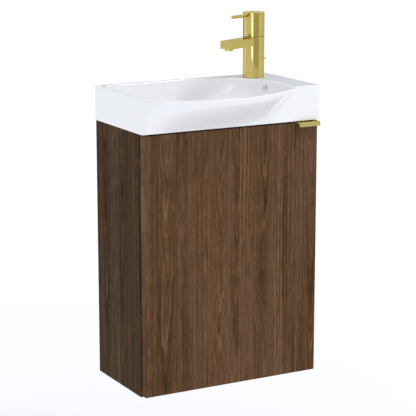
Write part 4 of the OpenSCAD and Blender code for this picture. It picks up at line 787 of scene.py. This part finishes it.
# Brass bare from the lathe: warm yellow, with rings from the tool. The tool's real feed is
# about 0.1 mm a turn, and the rings are drawn coarser so that they show
waste_middle = (waste_at[0] / 1000, waste_at[1] / 1000, 0)
dress(["waste_nut"], ringed_finish("brass_turned_waste_nut", BRASS, waste_middle, 0.9, 0.02))


# Mixer. A turned brass body with a square spout brazed to its side, and a turning head with
# a pin lever. It is polished and plated a pale gold, and a stud clamps it to the ledge.
MIXER_EDGE_MM = 0.4
# Gold plate on polished brass: a pale yellow mirror that stays yellow at a glancing angle
gold = cloudy_finish("brass_gold_plated_polished", "#d7c476", 0.10, 1.0, grain_mm=4.0,
                     relief_mm=0.002, edge="#cdbb70", uneven=0.02)
dress(["spout"], gold, MIXER_EDGE_MM)
dress(["tap_body", "tap_head", "lever_pin", "aerator", "chain_stud"], gold)
# Moulded nylon: slate grey, with a fine spark-eroded grain
dress(["cartridge"], cloudy_finish("nylon_injection_moulded", "#596067", 0.45, grain_mm=0.8,
                                   relief_mm=0.02))
# Turned brass again, with its rings about the mixer's axis
tap_middle = (tap_at[0] / 1000, tap_at[1] / 1000, 0)
dress(["cartridge_nut", "turret", "stud_nut"],
      ringed_finish("brass_turned_mixer_parts", BRASS, tap_middle, 0.8, 0.02))
dress(["tilt_pin"], zinc)
# Rolled thread on a zinc-plated stud: grey rings at its real 1 mm pitch
stud_low, stud_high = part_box("fixing_stud")
stud_middle = ((stud_low[0] + stud_high[0]) / 2, (stud_low[1] + stud_high[1]) / 2, 0)
dress(["fixing_stud"],
      ringed_finish("steel_thread_rolled_zinc_plated", ZINC_GREY, stud_middle, 1.0, 0.25))
dress(["steel_horseshoe"], galvanised)
dress(["tap_gasket", "rubber_horseshoe"], rubber)


# Hinges. Two cup hinges, pressed from steel strip: a deep-drawn cup in the door, a cranked
# link, and an arm that clips on a plate screwed to the side panel.

# Nickel plate on pressed steel: a warm grey, softly polished by tumbling
nickel = cloudy_finish("steel_nickel_plated_tumbled", "#c6c1b6", 0.22, 1.0, grain_mm=2.0,
                       relief_mm=0.004)
dress(["hinge_cup_upper", "hinge_cup_lower", "hinge_link_upper", "hinge_link_lower",
       "hinge_arm_upper", "hinge_arm_lower", "hinge_plate_upper", "hinge_plate_lower"],
      nickel)
dress(["cup_screws", "cup_pins", "arm_pins", "arm_screws", "plate_screws"], zinc)


# Door. One 16 mm particle board, laminated with the same foil as the boards and edged all
# round with it. It is bored for the two hinge cups, which carry it.

# Walnut print under matt lacquer: here it runs upright over the whole front
dress(["door"], walnut_foil("walnut_foil_laminated_door", 0, 2, DOOR_SHADES, 3.3), FOIL_EDGE_MM)


# Edge pull. A bent brass strip on the door's top edge, held by two screws behind its lip. It
# is brushed all over before it is plated.
PULL_EDGE_MM = 0.3
# Gold plate on brushed brass: the same yellow, with a soft satin shine
satin_gold = cloudy_finish("brass_gold_plated_brushed", "#d6ca82", 0.34, 1.0,
                           edge="#c4b36c")
dress(["edge_pull"], satin_gold, PULL_EDGE_MM)
dress(["pull_screws"], satin_gold)


# Door bumpers. Two domes of clear gel, cast with a sticky back and stuck on the front edge
# of the side panel, where they soften the door's knock.

# Cast gel: milky clear, with a wet gloss
dress(["door_bumpers"], cloudy_finish("gel_cast_clear", "#d6d8d8", 0.22, grain_mm=2.0))
